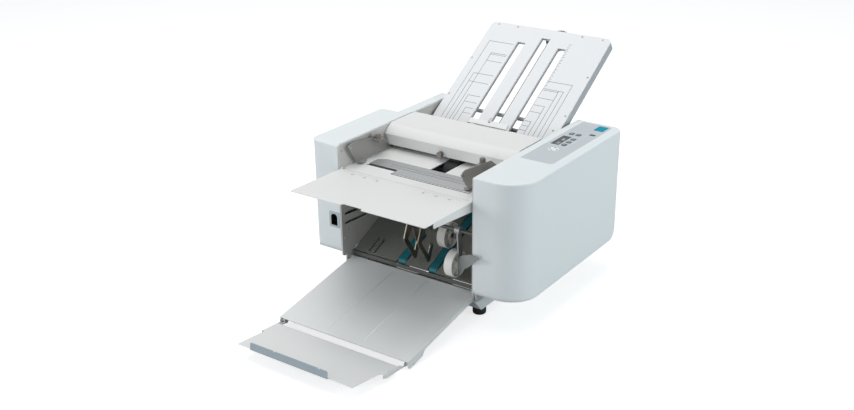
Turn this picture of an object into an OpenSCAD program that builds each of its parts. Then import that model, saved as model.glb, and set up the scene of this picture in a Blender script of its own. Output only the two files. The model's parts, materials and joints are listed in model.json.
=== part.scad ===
// Desk-top paper folding machine: feed table in front, two folding plates behind, delivery
// ramp and tray below. Millimetres, +Z up. Everything is laid out from the middle of the
// opening between the two housings (x = 0), their front faces (y = 0) and the table (z = 0);
// the module seat() then moves it to the frame whose origin is the middle of the footprint.

/* [Housings] */
// Height of the housings' tops above the table
top_z = 330; // [326:1:340]
// Height of the housings' undersides above the table
base_z = 72; // [68:1:76]
// Clear width between the two housings
opening_w = 340; // [336:1:344]
// Width of the left housing
left_w = 78; // [72:1:90]
// Width of the left housing behind its step
left_rear_w = 32; // [31:1:40]
// Distance from the front face to the step in the left housing
left_step_y = 250; // [200:1:300]
// Width of the right housing, which holds the drive
right_w = 111; // [108:1:120]
// Front-to-back length of both housings
housing_d = 431; // [428:1:440]
// Thickness of the housing walls
wall = 3; // [2:0.5:4]
// Plan radius of the right housing's outer front corner
front_corner_r = 65; // [40:1:75]
// Radius of the housings' lower front and rear edges
lower_edge_r = 28; // [20:1:32]
// Radius of the housings' top edges
top_edge_r = 7; // [4:0.5:9]

/* [Feed] */
// Height of the feed table's surface
table_z = 275; // [274:0.5:276]
// Depth of the folding feed shelf
shelf_d = 161; // [130:1:165]
// Rise of the shelf towards its front edge, degrees
shelf_rise = 1.2; // [0:0.1:2.5]
// Width of the shelf
shelf_w = 330; // [320:1:332]
// Place of the left side guide across the table
left_guide_x = -158; // [-160:1:-150]
// Place of the right side guide across the table
right_guide_x = 128; // [120:1:132]

/* [Folding plates] */
// Slope of the upper folding plate, degrees
plate_angle = 32.9; // [32.5:0.1:33.3]
// Width of the upper folding plate
plate_w = 322; // [318:1:324]
// Length of the plate above its reference line
plate_up = 238; // [225:1:245]
// Length of the plate below its reference line
plate_down = 128; // [124:1:130]
// Depth of the plate's side rails
rail_depth = 22; // [20:0.5:23]
// Place of the fold stop along the plate
stop_v = -67; // [-67:1:60]

/* [Rollers and gears] */
// Radius of the rubber folding rollers
roller_r = 16.9; // [16.5:0.1:16.95]
// Teeth on each roller gear
gear_teeth = 20; // [20:1:20]
// Distance between the axes of meshing rollers
roller_pitch = 34.1; // [34:0.1:34.3]
// Radius of the roller shafts
shaft_r = 5; // [4.5:0.1:5]

/* [Delivery] */
// Slope of the delivery ramp, degrees
ramp_angle = 24; // [23.5:0.1:24.5]
// Radius of the stacking wheels
wheel_r = 29; // [27:0.5:29]
// Fall of the delivery tray towards its front edge, degrees
tray_fall = 10.4; // [10:0.1:10.6]
// Length of the delivery tray in front of its hinge
tray_l = 245; // [235:1:246]
// Rise of the tray's extension flap towards its front edge, degrees
flap_rise = 6.6; // [6:0.1:7]

/* [Hidden] */

$fn = 64;
half = opening_w / 2;          // inner face of each housing
plate_t = 3;                   // thickness of the side frame plates
inner = half - plate_t;        // inner face of each frame plate
run = 0.05;                    // radial clearance of a running fit
gap = 0.3;                     // clearance between moving surfaces that only pass each other

// Axes of shafts and bars, as [y, z]
main_axis = [262, 250];
upper_axis = main_axis + roller_pitch * [cos(94), sin(94)];
rear_axis = main_axis + roller_pitch * [cos(-7), sin(-7)];
lower_axis = main_axis + roller_pitch * [cos(-83), sin(-83)];
feed_axis = [168, table_z - 20.5];
motor_axis = [120, 150];
guide_axis = [206, 262];
stacker_axis = [38, 190];
cover_axis = [266, top_z - 11];
shelf_axis = [6, table_z + 1];
tray_axis = [28, 62];
tie_axes = [[120, 215], [300, 100]];
separator_axis = [196, 303];

// Delivery ramp: its surface passes through ramp_foot and climbs to the rear
ramp_foot = [37, 77];
ramp_l = 197;
belt_r = 9;                    // inner radius of a conveyor belt's bends
belt_t = 2;
belt_w = 19;
belt_x = [-38.5, 41.5];        // middles of the two conveyor belts
belt_ends = [12, 180];         // pulley places along the ramp
belt_sink = -9;                // pulley centres below the ramp's surface
belt_gap = 0.1;                // belts stand this far off their pulleys
front_roller_axis = on_ramp_at(belt_ends[0], belt_sink);
rear_roller_axis = on_ramp_at(belt_ends[1], belt_sink);

// Upper folding plate: u runs across, v up the slope, w square to the plate
plate_ref = [398, top_z + 15];
slot_w = 19.5;
outer_slot_x = 53.5;           // middle of the outer slots
centre_slot_x = 1;
knob_r = 20.5;                 // skew knob behind the plate
knob_u = 13;
knob_v = plate_up + 17 - knob_r;
knob_back = rail_depth + 16;   // outer face of the skew knob, behind the plate's surface

// Footprint, for the origin in its middle
flap_l = 151;                  // pivot to the front edge of the flap
flap_pivot = tray_at(6 - tray_l, -6.9);
flap_reach = flap_l + 3.1;     // pivot to the front of the flap's lip
reach_front = flap_pivot[0] - flap_reach * cos(flap_rise) + 1.5 * sin(flap_rise);
reach_rear = plate_ref[0] + (knob_v + knob_r) * cos(plate_angle) + knob_back * sin(plate_angle);
origin_x = (right_w - left_w) / 2;
origin_y = (reach_front + reach_rear) / 2;

// Colours
white_paint = "#E6E8EA";
cover_white = "#E4E5E2";
steel_grey = "#969491";
dark_steel = "#55564F";
zinc = "#C9CCCB";
rubber_black = "#16181A";
teal = "#0A5560";
nylon = "#F2F0E6";
chrome = "#D5D8DA";
tray_grey = "#CFCFCC";
key_dark = "#4A4F54";

function on_ramp_at(s, n) = [ramp_foot[0] + s * cos(ramp_angle) - n * sin(ramp_angle),
                             ramp_foot[1] + s * sin(ramp_angle) + n * cos(ramp_angle)];
function tray_at(y, z) = [tray_axis[0] + y * cos(tray_fall) - z * sin(tray_fall),
                          tray_axis[1] + y * sin(tray_fall) + z * cos(tray_fall)];
function plate_at(v, w) = [plate_ref[0] + v * cos(plate_angle) - w * sin(plate_angle),
                           plate_ref[1] + v * sin(plate_angle) + w * cos(plate_angle)];

// ---- placing ----------------------------------------------------------------------------

// From the opening's middle to the middle of the footprint
module seat() {
    translate([-origin_x, -origin_y, 0])
        children();
}

// A shape along X, centred on an axis given as [y, z], from x0 to x1
module along_x(axis, x0, x1) {
    translate([x0, axis[0], axis[1]])
        rotate([90, 0, 90])
            linear_extrude(x1 - x0)
                children();
}

module bar(axis, x0, x1, r) {
    along_x(axis, x0, x1)
        circle(r);
}

// Ring round an axis along X
module ring(axis, x0, x1, r_out, r_in) {
    along_x(axis, x0, x1)
        difference() {
            circle(r_out);
            circle(r_in);
        }
}

// The same shape on both sides of the opening
module both_sides() {
    children();
    mirror([1, 0, 0])
        children();
}

module on_ramp() {
    translate([0, ramp_foot[0], ramp_foot[1]])
        rotate([ramp_angle, 0, 0])
            children();
}

module on_plate() {
    translate([0, plate_ref[0], plate_ref[1]])
        rotate([plate_angle, 0, 0])
            children();
}

module on_shelf() {
    translate([0, shelf_axis[0], shelf_axis[1]])
        rotate([-shelf_rise, 0, 0])
            children();
}

module on_tray() {
    translate([0, tray_axis[0], tray_axis[1]])
        rotate([tray_fall, 0, 0])
            children();
}

module on_flap() {
    translate([0, flap_pivot[0], flap_pivot[1]])
        rotate([-flap_rise, 0, 0])
            children();
}

// ---- repeated outlines ------------------------------------------------------------------

// What is cut from a square corner at the origin to round it
module corner_bite(r) {
    difference() {
        translate([-1, -1])
            square(r + 1);
        translate([r, r])
            circle(r);
    }
}

// Rectangle from the origin with its own radius at each corner, in the order
// low-low, high-low, high-high, low-high
module rounded(w, h, radii) {
    difference() {
        square([w, h]);
        if (radii[0] > 0)
            corner_bite(radii[0]);
        if (radii[1] > 0)
            translate([w, 0])
                mirror([1, 0])
                    corner_bite(radii[1]);
        if (radii[2] > 0)
            translate([w, h])
                rotate(180)
                    corner_bite(radii[2]);
        if (radii[3] > 0)
            translate([0, h])
                mirror([0, 1])
                    corner_bite(radii[3]);
    }
}

// Slot with round ends, centred on the origin along X
module round_slot(l, w) {
    square([l - w, w], center = true);
    for (side = [-1, 1])
        translate([side * (l - w) / 2, 0])
            circle(w / 2);
}

// Block whose outline is rounded seen from above, from the side and from the front
module rounded_block(low, high, plan, side, face) {
    size = high - low;
    intersection() {
        translate(low)
            linear_extrude(size[2])
                rounded(size[0], size[1], plan);
        translate([low[0] - 1, low[1], low[2]])
            rotate([90, 0, 90])
                linear_extrude(size[0] + 2)
                    rounded(size[1], size[2], side);
        translate([low[0], high[1] + 1, low[2]])
            rotate([90, 0, 0])
                linear_extrude(size[1] + 2)
                    rounded(size[0], size[2], face);
    }
}

// ---- frame ------------------------------------------------------------------------------

base_x = 160;                  // half width of the base pan
base_y = [50, 400];
base_bottom = 16;
pan_t = 3;
plate_bottom = 52;             // lower edge of the side frame plates

// Folded steel pan with side walls, outward flanges and low end walls
module base_frame() {
    size_y = base_y[1] - base_y[0];
    color(white_paint) seat() {
        difference() {
            translate([-base_x, base_y[0], base_bottom])
                cube([2 * base_x, size_y, pan_t]);
            for (y = [130, 225, 320])
                for (x = [-75, 75])
                    translate([x, y, base_bottom - 1])
                        linear_extrude(pan_t + 2)
                            round_slot(90, 40);
        }
        both_sides() {
            translate([base_x - pan_t, 0, 0])
                rotate([90, 0, 90])
                    linear_extrude(pan_t)
                        polygon([[base_y[0], base_bottom], [base_y[1], base_bottom],
                                 [base_y[1] + 20, plate_bottom - pan_t], [base_y[1] + 20, plate_bottom],
                                 [base_y[0] - 30, plate_bottom], [base_y[0] - 30, plate_bottom - pan_t]]);
            translate([base_x - pan_t, base_y[0] - 30, plate_bottom - pan_t])
                cube([half + 1 - base_x + pan_t, size_y + 50, pan_t]);
        }
        for (y = [base_y[0], base_y[1] - pan_t])
            translate([-base_x, y, base_bottom])
                cube([2 * base_x, pan_t, 18]);
    }
}

foot_y = [64.5, 386];
foot_x = 145.5;
foot_r = 14.5;

// Four rubber feet, each with a collar and a screw recess in its sole
module feet() {
    color(rubber_black) seat()
        for (x = [-foot_x, foot_x])
            for (y = foot_y)
                translate([x, y, 0])
                    rotate_extrude()
                        difference() {
                            polygon([[0, 4], [4, 4], [4, 0], [foot_r - 1.5, 0], [foot_r - 0.5, 1],
                                     [foot_r, 4], [foot_r, 12.5], [foot_r - 1.5, base_bottom],
                                     [0, base_bottom]]);
                            translate([foot_r + 0.6, 9])
                                circle(1.4, $fn = 24);
                        }
}

// Shaft holes take the bushes; plain holes take turned bar ends and hinge pins
bush_r = 8;
bushed_axes = [main_axis, upper_axis, rear_axis, lower_axis, feed_axis,
               front_roller_axis, rear_roller_axis];
bar_end_r = 4;
barred_axes = concat(tie_axes, [guide_axis, stacker_axis, separator_axis,
               plate_at(-100, 5), plate_at(-60, -11.7), plate_at(-15, -rail_depth - 4.7)]);

module frame_outline() {
    difference() {
        union() {
            translate([1, base_z])
                rounded(housing_d - 5, top_z - 2 - base_z, [6, 20, 14, 4]);
            translate([14, plate_bottom])
                square([396, base_z + 10 - plate_bottom]);
        }
        for (axis = bushed_axes)
            translate(axis)
                circle(bush_r + 0.01);
        for (axis = barred_axes)
            translate(axis)
                circle(bar_end_r + 0.01);
        translate(cover_axis)
            circle(3 + run);
        translate(shelf_axis)
            circle(2 + run);
        translate(tray_axis)
            circle(2.5 + run);
        for (hole = [[12, 112], [21, 130], [9, 314]])
            translate(hole)
                circle(1.6, $fn = 24);
    }
}

// Left plate, with the two long cable and adjusting slots seen in the delivery bay
module left_frame_plate() {
    color(steel_grey) seat()
        translate([-half, 0, 0])
            rotate([90, 0, 90])
                linear_extrude(plate_t)
                    difference() {
                        frame_outline();
                        translate([37, 167])
                            rotate(-5)
                                round_slot(48, 6);
                        translate([51, 145])
                            rotate(-3)
                                round_slot(78, 5);
                    }
}

// Right plate, with a row of lightening holes behind the drive
module right_frame_plate() {
    color(steel_grey) seat()
        translate([inner, 0, 0])
            rotate([90, 0, 90])
                linear_extrude(plate_t)
                    difference() {
                        frame_outline();
                        for (y = [330, 362, 394])
                            translate([y, 150])
                                circle(10);
                    }
}

// ---- housings ---------------------------------------------------------------------------

inlet_low = [-199.5, 138];       // lower outer corner of the mains inlet, as [x, z]
inlet_size = [27, 36];

module left_block(t) {
    front_side = [lower_edge_r - t, 10, top_edge_r, top_edge_r];
    outer = -half - left_w + t;
    outer_rear = -half - left_rear_w + t;
    inward = -half + (t > 0 ? 1 : 0);
    rounded_block([outer, t, base_z + t], [inward, left_step_y - t, top_z - t],
        [lower_edge_r - t, 0, 0, 18 - t],
        [lower_edge_r - t, 0, 0, top_edge_r - t],
        [12 - t, 0, 0, top_edge_r - t]);
    rounded_block([outer_rear, left_step_y - 30, base_z + t], [inward, housing_d - t, top_z - t],
        [0, 0, 0, 12 - t],
        [0, lower_edge_r - t, top_edge_r - t, 0],
        [6 - t, 0, 0, top_edge_r - t]);
}

// Left cover shell: open towards its frame plate, with the inlet's opening in front
module left_housing() {
    color(white_paint) seat()
        difference() {
            left_block(0);
            left_block(wall);
            translate([inlet_low[0] + 1.5, -1, inlet_low[1] + 1.5])
                cube([inlet_size[0] - 3, wall + 2, inlet_size[1] - 3]);
        }
}

module right_block(t) {
    rounded_block([half - (t > 0 ? 1 : 0), t, base_z + t], [half + right_w - t, housing_d - t, top_z - t],
        [0, front_corner_r - t, 25 - t, 0],
        [lower_edge_r - t, lower_edge_r - t, top_edge_r - t, top_edge_r - t],
        [0, 14 - t, top_edge_r - t, 0]);
}

// Control panel recess in the right housing's top
panel_low = [187, 147];
panel_size = [74, 273];
panel_t = 1.6;

module panel_outline(grow) {
    translate(panel_low - [grow, grow])
        rounded(panel_size[0] + 2 * grow, panel_size[1] + 2 * grow, [3, 10, 12, 3]);
}

module right_housing() {
    color(white_paint) seat()
        difference() {
            right_block(0);
            right_block(wall);
            translate([0, 0, top_z - panel_t])
                linear_extrude(panel_t + 1)
                    panel_outline(0.02);
        }
}

// ---- bars and bushes --------------------------------------------------------------------

// Bars that tie the frame plates, carry the guides, the stacker and the separator, and
// locate the upper folding plate. Each has turned-down ends in the frame plates.
module cross_bars() {
    color(zinc) seat()
        for (axis = barred_axes) {
            bar(axis, -half + 0.5, half - 0.5, bar_end_r);
            bar(axis, -inner, inner, axis == stacker_axis || axis == guide_axis ? bar_end_r : bar_end_r + 0.5);
        }
}

// Flanged plastic bushes for the seven roller shafts
module shaft_bushes() {
    color(nylon) seat()
        for (axis = bushed_axes)
            for (side = [-1, 1])
                mirror([side < 0 ? 1 : 0, 0, 0]) {
                    ring(axis, inner, half, bush_r, shaft_r + run);
                    ring(axis, inner - 1.5, inner, bush_r + 2, shaft_r + run);
                }
}

// ---- feed table -------------------------------------------------------------------------

table_back = 232;
roller_slot = [[-8, 103], [30, 192]];
guide_slots = [[-163, -78], [66, 163]];

// White table sheet: folded front edge, slot for the feed roller, slots for the guides' tails
module feed_table() {
    color(white_paint) seat()
        difference() {
            union() {
                translate([-inner, 9, table_z - 2])
                    cube([2 * inner, table_back - 9, 2]);
                translate([-inner, 9, table_z - 16])
                    cube([2 * inner, 2, 16]);
                translate([-inner, table_back - 2, table_z - 10])
                    cube([2 * inner, 2, 10]);
            }
            translate([roller_slot[0][0], roller_slot[0][1], table_z - 3])
                cube([roller_slot[1][0] - roller_slot[0][0], roller_slot[1][1] - roller_slot[0][1], 4]);
            for (slot = guide_slots)
                translate([slot[0], guide_axis[0] - 6, table_z - 3])
                    cube([slot[1] - slot[0], 12, 4]);
            both_sides()
                translate([shelf_w / 2 - 5, 8, table_z - 20])
                    cube([10, 4, 24]);
        }
}

// Stepped steel plate on the table in front of the feed roller, with two long slots
module feed_plate() {
    color(zinc) seat()
        translate([0, 0, table_z])
            linear_extrude(1.5)
                difference() {
                    polygon([[-136, 64], [-60, 64], [-60, 44], [134, 44], [134, 104],
                             [-118, 104], [-136, 92]]);
                    for (y = [73, 84])
                        translate([10, y])
                            round_slot(200, 2);
                }
}

// Retard pad that lets only one sheet pass, hung from its bar just above the feed roller
module separator_pad() {
    color(rubber_black) seat() {
        ring(separator_axis, -4, 26, 9, bar_end_r + 0.5);
        along_x([0, 0], -2, 24)
            polygon([[170, 277.4], [186, 277.4], [202, 294], [200, 297], [190, 299], [172, 284]]);
    }
}

shelf_edge = shelf_d + 2;

// Hinged shelf of painted sheet: top, folded side flanges, notched front edge, hinge pins
module feed_shelf() {
    color(cover_white) seat()
        on_shelf() {
            translate([0, 0, -0.8])
                linear_extrude(1.6)
                    difference() {
                        translate([-shelf_w / 2, -shelf_edge])
                            rounded(shelf_w, shelf_edge - 1.5, [3, 3, 0, 0]);
                        translate([-37, -shelf_edge - 1])
                            polygon([[0, 0], [52, 0], [48, 9], [4, 9]]);
                    }
            both_sides() {
                translate([shelf_w / 2 - 1.6, 0, 0])
                    rotate([90, 0, 90])
                        linear_extrude(1.6)
                            polygon([[-1.5, 0.7], [-1.5, -21], [-5, -23], [-124, -23], [-131, -19],
                                     [-134, -6], [-134, 0.7]]);
                translate([shelf_w / 2 - 1.6, 0, 0])
                    rotate([90, 0, 90])
                        linear_extrude(1.6)
                            union() {
                                circle(4);
                                translate([-8, -4])
                                    square([8, 4.8]);
                            }
                translate([shelf_w / 2 - 1.6, 0, 0])
                    rotate([0, 90, 0])
                        cylinder(r = 2, h = 5.6);
            }
        }
}

// ---- side guides ------------------------------------------------------------------------

guide_bottom = table_z + 3;
knob_axis_y = 113;

// Tall guide plate with a bent lug for its thumbscrew, a foot pad and a tail on the rail.
// inward is +1 where the paper lies on the +X side.
module side_guide(x, inward) {
    translate([x, 0, 0])
        mirror([inward > 0 ? 0 : 1, 0, 0]) {
            rotate([90, 0, 90])
                linear_extrude(1.5)
                    difference() {
                        polygon([[20, 319], [24, 323], [35, 326], [131, 316], [157, 297], [157, 281.5],
                                 [210.5, 281.5], [210.5, 262], [201.5, 262], [201.5, guide_bottom],
                                 [50, guide_bottom], [33, 299]]);
                        translate(guide_axis)
                            circle(bar_end_r + run);
                        translate([29, 315])
                            circle(1.8, $fn = 24);
                    }
            translate([0, knob_axis_y - 9, 313])
                difference() {
                    cube([16, 18, 2]);
                    translate([9, 9, -1])
                        cylinder(r = 3 + run, h = 4);
                }
            translate([1, 48, guide_bottom])
                cube([11, 20, 5]);
            ring(guide_axis, 0, 14, 7.5, bar_end_r + run);
        }
}

module left_side_guide() {
    color(steel_grey) seat()
        side_guide(left_guide_x, 1);
}

module right_side_guide() {
    color(steel_grey) seat()
        side_guide(right_guide_x, -1);
}

// Knurled thumbscrew standing in a guide's lug
module guide_knob(x) {
    translate([x, knob_axis_y, 0]) {
        translate([0, 0, 307])
            cylinder(r = 3, h = 16);
        translate([0, 0, 315.3])
            difference() {
                cylinder(r = 6.5, h = 9);
                for (i = [0:11])
                    rotate(30 * i)
                        translate([6.9, 0, -1])
                            cylinder(r = 0.9, h = 11, $fn = 24);
            }
        translate([0, 0, 324.3])
            cylinder(r = 4.6, h = 2);
        translate([0, 0, 310.4])
            cylinder(r = 4.6, h = 2.3);
    }
}

module left_guide_knob() {
    color(chrome) seat()
        guide_knob(left_guide_x + 9);
}

module right_guide_knob() {
    color(chrome) seat()
        guide_knob(right_guide_x - 9);
}

// ---- top cover --------------------------------------------------------------------------

cover_w = 2 * inner - 2;
cover_skin = 2.4;

// Outer line of the cover from its rear edge over the nose to the lip under it; the inner
// line runs back parallel to it
module cover_profile() {
    polygon([[272, top_z - 9], [272, top_z], [186, top_z], [173, top_z - 6], [161.5, top_z - 17],
             [160, top_z - 20], [165, top_z - 45], [176, top_z - 47], [176, top_z - 44.6],
             [167.5, top_z - 43], [162.7, top_z - 20.4], [164, top_z - 18.4],
             [174.6, top_z - 8.2], [187, top_z - cover_skin], [269.6, top_z - cover_skin],
             [269.6, top_z - 9]]);
}

// Side cheek of the cover, kept above the roller shafts
module cheek_profile() {
    polygon([[270, top_z - 1], [186, top_z - 1], [174, top_z - 7], [162, top_z - 19], [166, top_z - 43],
             [168.5, top_z - 43], [172, top_z - 17.5], [270, top_z - 17.5]]);
}

cover_knob_x = -18;
cover_knob_z = 291;

// Hinged cover over the rollers: bent skin, two cheeks and their hinge pins. Its front lip
// has a gap for the separator pad.
module top_cover() {
    color(cover_white) seat()
        difference() {
            union() {
                along_x([0, 0], -cover_w / 2, cover_w / 2)
                    cover_profile();
                both_sides() {
                    along_x([0, 0], cover_w / 2 - 2, cover_w / 2)
                        cheek_profile();
                    bar(cover_axis, cover_w / 2 - 2, half - 0.5, 3);
                }
            }
            translate([cover_knob_x, 170, cover_knob_z])
                rotate([90, 0, 0])
                    cylinder(r = 3 + run, h = 20);
            translate([-7, 168, top_z - 50])
                cube([36, 12, 9]);
        }
}

// Knurled screw in the cover's nose that sets the separator gap
module cover_knob() {
    color(chrome) seat()
        translate([cover_knob_x, 0, cover_knob_z])
            rotate([90, 0, 0]) {
                translate([0, 0, -170])
                    cylinder(r = 3, h = 14);
                translate([0, 0, -162])
                    difference() {
                        cylinder(r = 6.5, h = 9);
                        for (i = [0:11])
                            rotate(30 * i)
                                translate([6.9, 0, -1])
                                    cylinder(r = 0.9, h = 11, $fn = 24);
                    }
                translate([0, 0, -170])
                    cylinder(r = 3.9, h = 1.6);
            }
}

// ---- folding plates ---------------------------------------------------------------------

plate_sheet = 2;
channel = 3;                   // space for the paper between the two sheets
rail_low = -55;                // lower end of the side rails

module plate_outline() {
    difference() {
        translate([-plate_w / 2, -plate_down])
            rounded(plate_w, plate_down + plate_up, [3, 3, 13, 13]);
        for (x = [-outer_slot_x, outer_slot_x + 1.5])
            translate([x - slot_w / 2, -76])
                square([slot_w, 262]);
        translate([centre_slot_x - slot_w / 2, -56])
            square([slot_w, 265]);
    }
}

// Upper sheet, which carries the scales and the fold stop
module fold_plate_front() {
    color(white_paint) seat()
        on_plate()
            translate([0, 0, -plate_sheet])
                linear_extrude(plate_sheet)
                    plate_outline();
}

// Lower sheet with deep side rails and a top rail round the same outline
module fold_plate_back() {
    rail_t = 2;
    color(zinc) seat()
        on_plate() difference() {
            union() {
            translate([0, 0, -2 * plate_sheet - channel])
                linear_extrude(plate_sheet)
                    plate_outline();
            translate([0, 0, -rail_depth])
                linear_extrude(rail_depth - plate_sheet)
                    difference() {
                        translate([-plate_w / 2, rail_low])
                            rounded(plate_w, plate_up - rail_low, [0, 0, 13, 13]);
                        translate([-plate_w / 2 + rail_t, rail_low - 1])
                            rounded(plate_w - 2 * rail_t, plate_up - rail_low - rail_t + 1, [0, 0, 11, 11]);
                    }
            both_sides()
                translate([plate_w / 2 - 8, rail_low, -rail_depth])
                    cube([7, plate_up - rail_low - 14, plate_sheet]);
            translate([knob_u, knob_v, -rail_depth])
                cylinder(r = 9, h = rail_depth - 2 * plate_sheet - channel + 0.5);
            }
            translate([knob_u, knob_v, -rail_depth - 1])
                cylinder(r = 4 + run, h = 14);
        }
}

// Fold stop: white bar across the three slots, tongues into the paper channel, metal pointer
module fold_stop() {
    color(nylon) seat()
        on_plate()
            translate([0, stop_v, 0]) {
                translate([-62, -7, 0.4])
                    cube([126, 14, 3]);
                for (x = [-outer_slot_x, outer_slot_x + 1.5])
                    translate([x - 8.5, -3, -plate_sheet - channel + gap])
                        cube([17, 6, plate_sheet + channel + 1]);
                translate([-13, 3, 0.4])
                    linear_extrude(5)
                        polygon([[0, 0], [6, 0], [6, 9], [3, 15], [0, 9]]);
            }
}

// Knurled knob behind the top rail that squares the fold stop
module skew_knob() {
    color(steel_grey) seat()
        on_plate()
            translate([knob_u, knob_v, 0]) {
                translate([0, 0, -knob_back])
                    difference() {
                        cylinder(r = knob_r, h = 14);
                        for (i = [0:23])
                            rotate(15 * i)
                                translate([knob_r + 0.6, 0, -1])
                                    cylinder(r = 1.5, h = 16, $fn = 24);
                        translate([0, 0, -1])
                            cylinder(r = 12, h = 4);
                    }
                translate([0, 0, -knob_back + 13])
                    cylinder(r = 4, h = 14);
            }
}

lower_start = [279, 233];      // mouth of the lower plate, as [y, z]
lower_l = 192;

module on_lower_plate() {
    translate([0, lower_start[0], lower_start[1]])
        rotate([-45, 0, 0])
            children();
}

// Lower folding plate: two sheets with side spacers and two slots for its stop
module lower_fold_plate() {
    color(zinc) seat()
        on_lower_plate() {
            for (w = [-3, 1.5])
                translate([0, 0, w])
                    linear_extrude(1.5)
                        difference() {
                            translate([-150, 0])
                                square([300, lower_l]);
                            for (x = [-60, 60])
                                translate([x - 6, 30])
                                    square([12, 150]);
                        }
            both_sides()
                translate([146, 30, -3])
                    cube([4, lower_l - 30, 6]);
            both_sides()
                translate([150, 60, -6])
                    cube([inner - 150, 90, 6]);
        }
}

module lower_fold_stop() {
    color(nylon) seat()
        on_lower_plate()
            translate([0, 150, 0]) {
                for (x = [-60, 60])
                    translate([x - 5.5, -3, -4])
                        cube([11, 6, 10]);
                translate([-72, -6, 3.4])
                    cube([144, 12, 3]);
            }
}

// ---- rollers ----------------------------------------------------------------------------

roller_face = 158;             // half length of the rubber
shaft_left = -half - 3;
gear_x = [174, 182];
belt_layer = [186, 194];
motor_layer = [196, 204];
small_pulley_r = 12;
feed_pulley_r = 13;
big_pulley_r = 26;
motor_pulley_r = 9;

// Rubber roller on its steel shaft; grooves let the paper guides reach between
module fold_roller(axis, right_end) {
    bar(axis, shaft_left, right_end, shaft_r);
    difference() {
        bar(axis, -roller_face, roller_face, roller_r);
        for (x = [-100, 0, 100])
            ring(axis, x - 2, x + 2, roller_r + 1, roller_r - 1.5);
    }
}

module upper_fold_roller() {
    color(rubber_black) seat()
        fold_roller(upper_axis, gear_x[1] + 2);
}

module main_fold_roller() {
    color(rubber_black) seat()
        fold_roller(main_axis, motor_layer[1] + 2);
}

module rear_fold_roller() {
    color(rubber_black) seat()
        fold_roller(rear_axis, gear_x[1] + 2);
}

module lower_fold_roller() {
    color(rubber_black) seat()
        fold_roller(lower_axis, belt_layer[1] + 1);
}

// Feed roller: steel shaft, one rubber tyre in the middle, toothed pulley outside the frame
module feed_roller() {
    color(rubber_black) seat() {
        bar(feed_axis, shaft_left, belt_layer[1] + 1, shaft_r);
        bar(feed_axis, -4, 26, 22);
        bar(feed_axis, -9, 31, 9);
        bar(feed_axis, belt_layer[0], belt_layer[1], feed_pulley_r);
    }
}

// Roller that carries both conveyor belts
module belt_roller(axis, right_end) {
    bar(axis, -half, right_end, shaft_r);
    for (x = belt_x)
        bar(axis, x - belt_w / 2 - 1, x + belt_w / 2 + 1, belt_r - belt_gap);
}

module front_belt_roller() {
    color(zinc) seat()
        belt_roller(front_roller_axis, half);
}

module rear_belt_roller() {
    color(zinc) seat() {
        belt_roller(rear_roller_axis, belt_layer[1] + 1);
        bar(rear_roller_axis, belt_layer[0], belt_layer[1], small_pulley_r);
    }
}

// ---- gears ------------------------------------------------------------------------------

gear_module = roller_pitch / gear_teeth;
pitch_r = roller_pitch / 2;
pressure = 20;
gear_base_r = pitch_r * cos(pressure);
tip_r = pitch_r + 0.95 * gear_module;
root_r = pitch_r - 1.2 * gear_module;
backlash = 0.35;               // taken off each tooth at the pitch circle, mm of arc
tooth_half = 90 / gear_teeth - backlash / 2 / pitch_r * 180 / PI;

// Angle by which an involute has turned at radius r, degrees
function involute_turn(r) = tan(acos(gear_base_r / r)) * 180 / PI - acos(gear_base_r / r);
// Half the angle that a tooth spans at radius r
function tooth_angle(r) = tooth_half + involute_turn(pitch_r) - involute_turn(r);
flank = [for (i = [0:4]) gear_base_r + 0.02 + (tip_r - gear_base_r - 0.02) * i / 4];
function polar(r, a) = [r * cos(a), r * sin(a)];

module gear_outline(phase) {
    polygon([for (i = [0:gear_teeth - 1]) let (mid = phase + 360 / gear_teeth * i) each concat(
        [polar(root_r, mid - tooth_angle(flank[0]))],
        [for (r = flank) polar(r, mid - tooth_angle(r))],
        [for (k = [4:-1:0]) polar(flank[k], mid + tooth_angle(flank[k]))],
        [polar(root_r, mid + tooth_angle(flank[0]))])]);
}

// Tooth phase of a gear that meshes with the main gear in the direction given
function mesh_phase(direction) = 180 + 2 * direction + 180 / gear_teeth;

// Spur gear with a hub, a web thinner than its rim and a bore on the shaft
module roller_gear(axis, phase) {
    difference() {
        along_x(axis, gear_x[0], gear_x[1])
            gear_outline(phase);
        ring(axis, gear_x[1] - 2.5, gear_x[1] + 1, root_r - 2.5, shaft_r + 4);
        bar(axis, gear_x[0] - 1, gear_x[1] + 1, shaft_r);
    }
}

module upper_gear() {
    color(nylon) seat()
        roller_gear(upper_axis, mesh_phase(94));
}

module rear_gear() {
    color(nylon) seat()
        roller_gear(rear_axis, mesh_phase(-7));
}

// Lower gear, moulded in one with the pulley that drives the delivery belts
module lower_gear() {
    color(nylon) seat() {
        roller_gear(lower_axis, mesh_phase(-83));
        ring(lower_axis, gear_x[1], belt_layer[0], shaft_r + 4, shaft_r);
        ring(lower_axis, belt_layer[0], belt_layer[1], small_pulley_r, shaft_r);
    }
}

// Main gear, moulded in one with the feed pulley and the large motor pulley
module main_gear() {
    color(nylon) seat() {
        roller_gear(main_axis, 0);
        ring(main_axis, gear_x[1], belt_layer[0], shaft_r + 4, shaft_r);
        ring(main_axis, belt_layer[0], motor_layer[0], small_pulley_r, shaft_r);
        along_x(main_axis, motor_layer[0], motor_layer[1])
            difference() {
                circle(big_pulley_r);
                circle(shaft_r);
                for (i = [0:5])
                    rotate(60 * i)
                        translate([17, 0])
                            circle(4.5);
            }
    }
}

// ---- drive ------------------------------------------------------------------------------

motor_r = 30;

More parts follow.
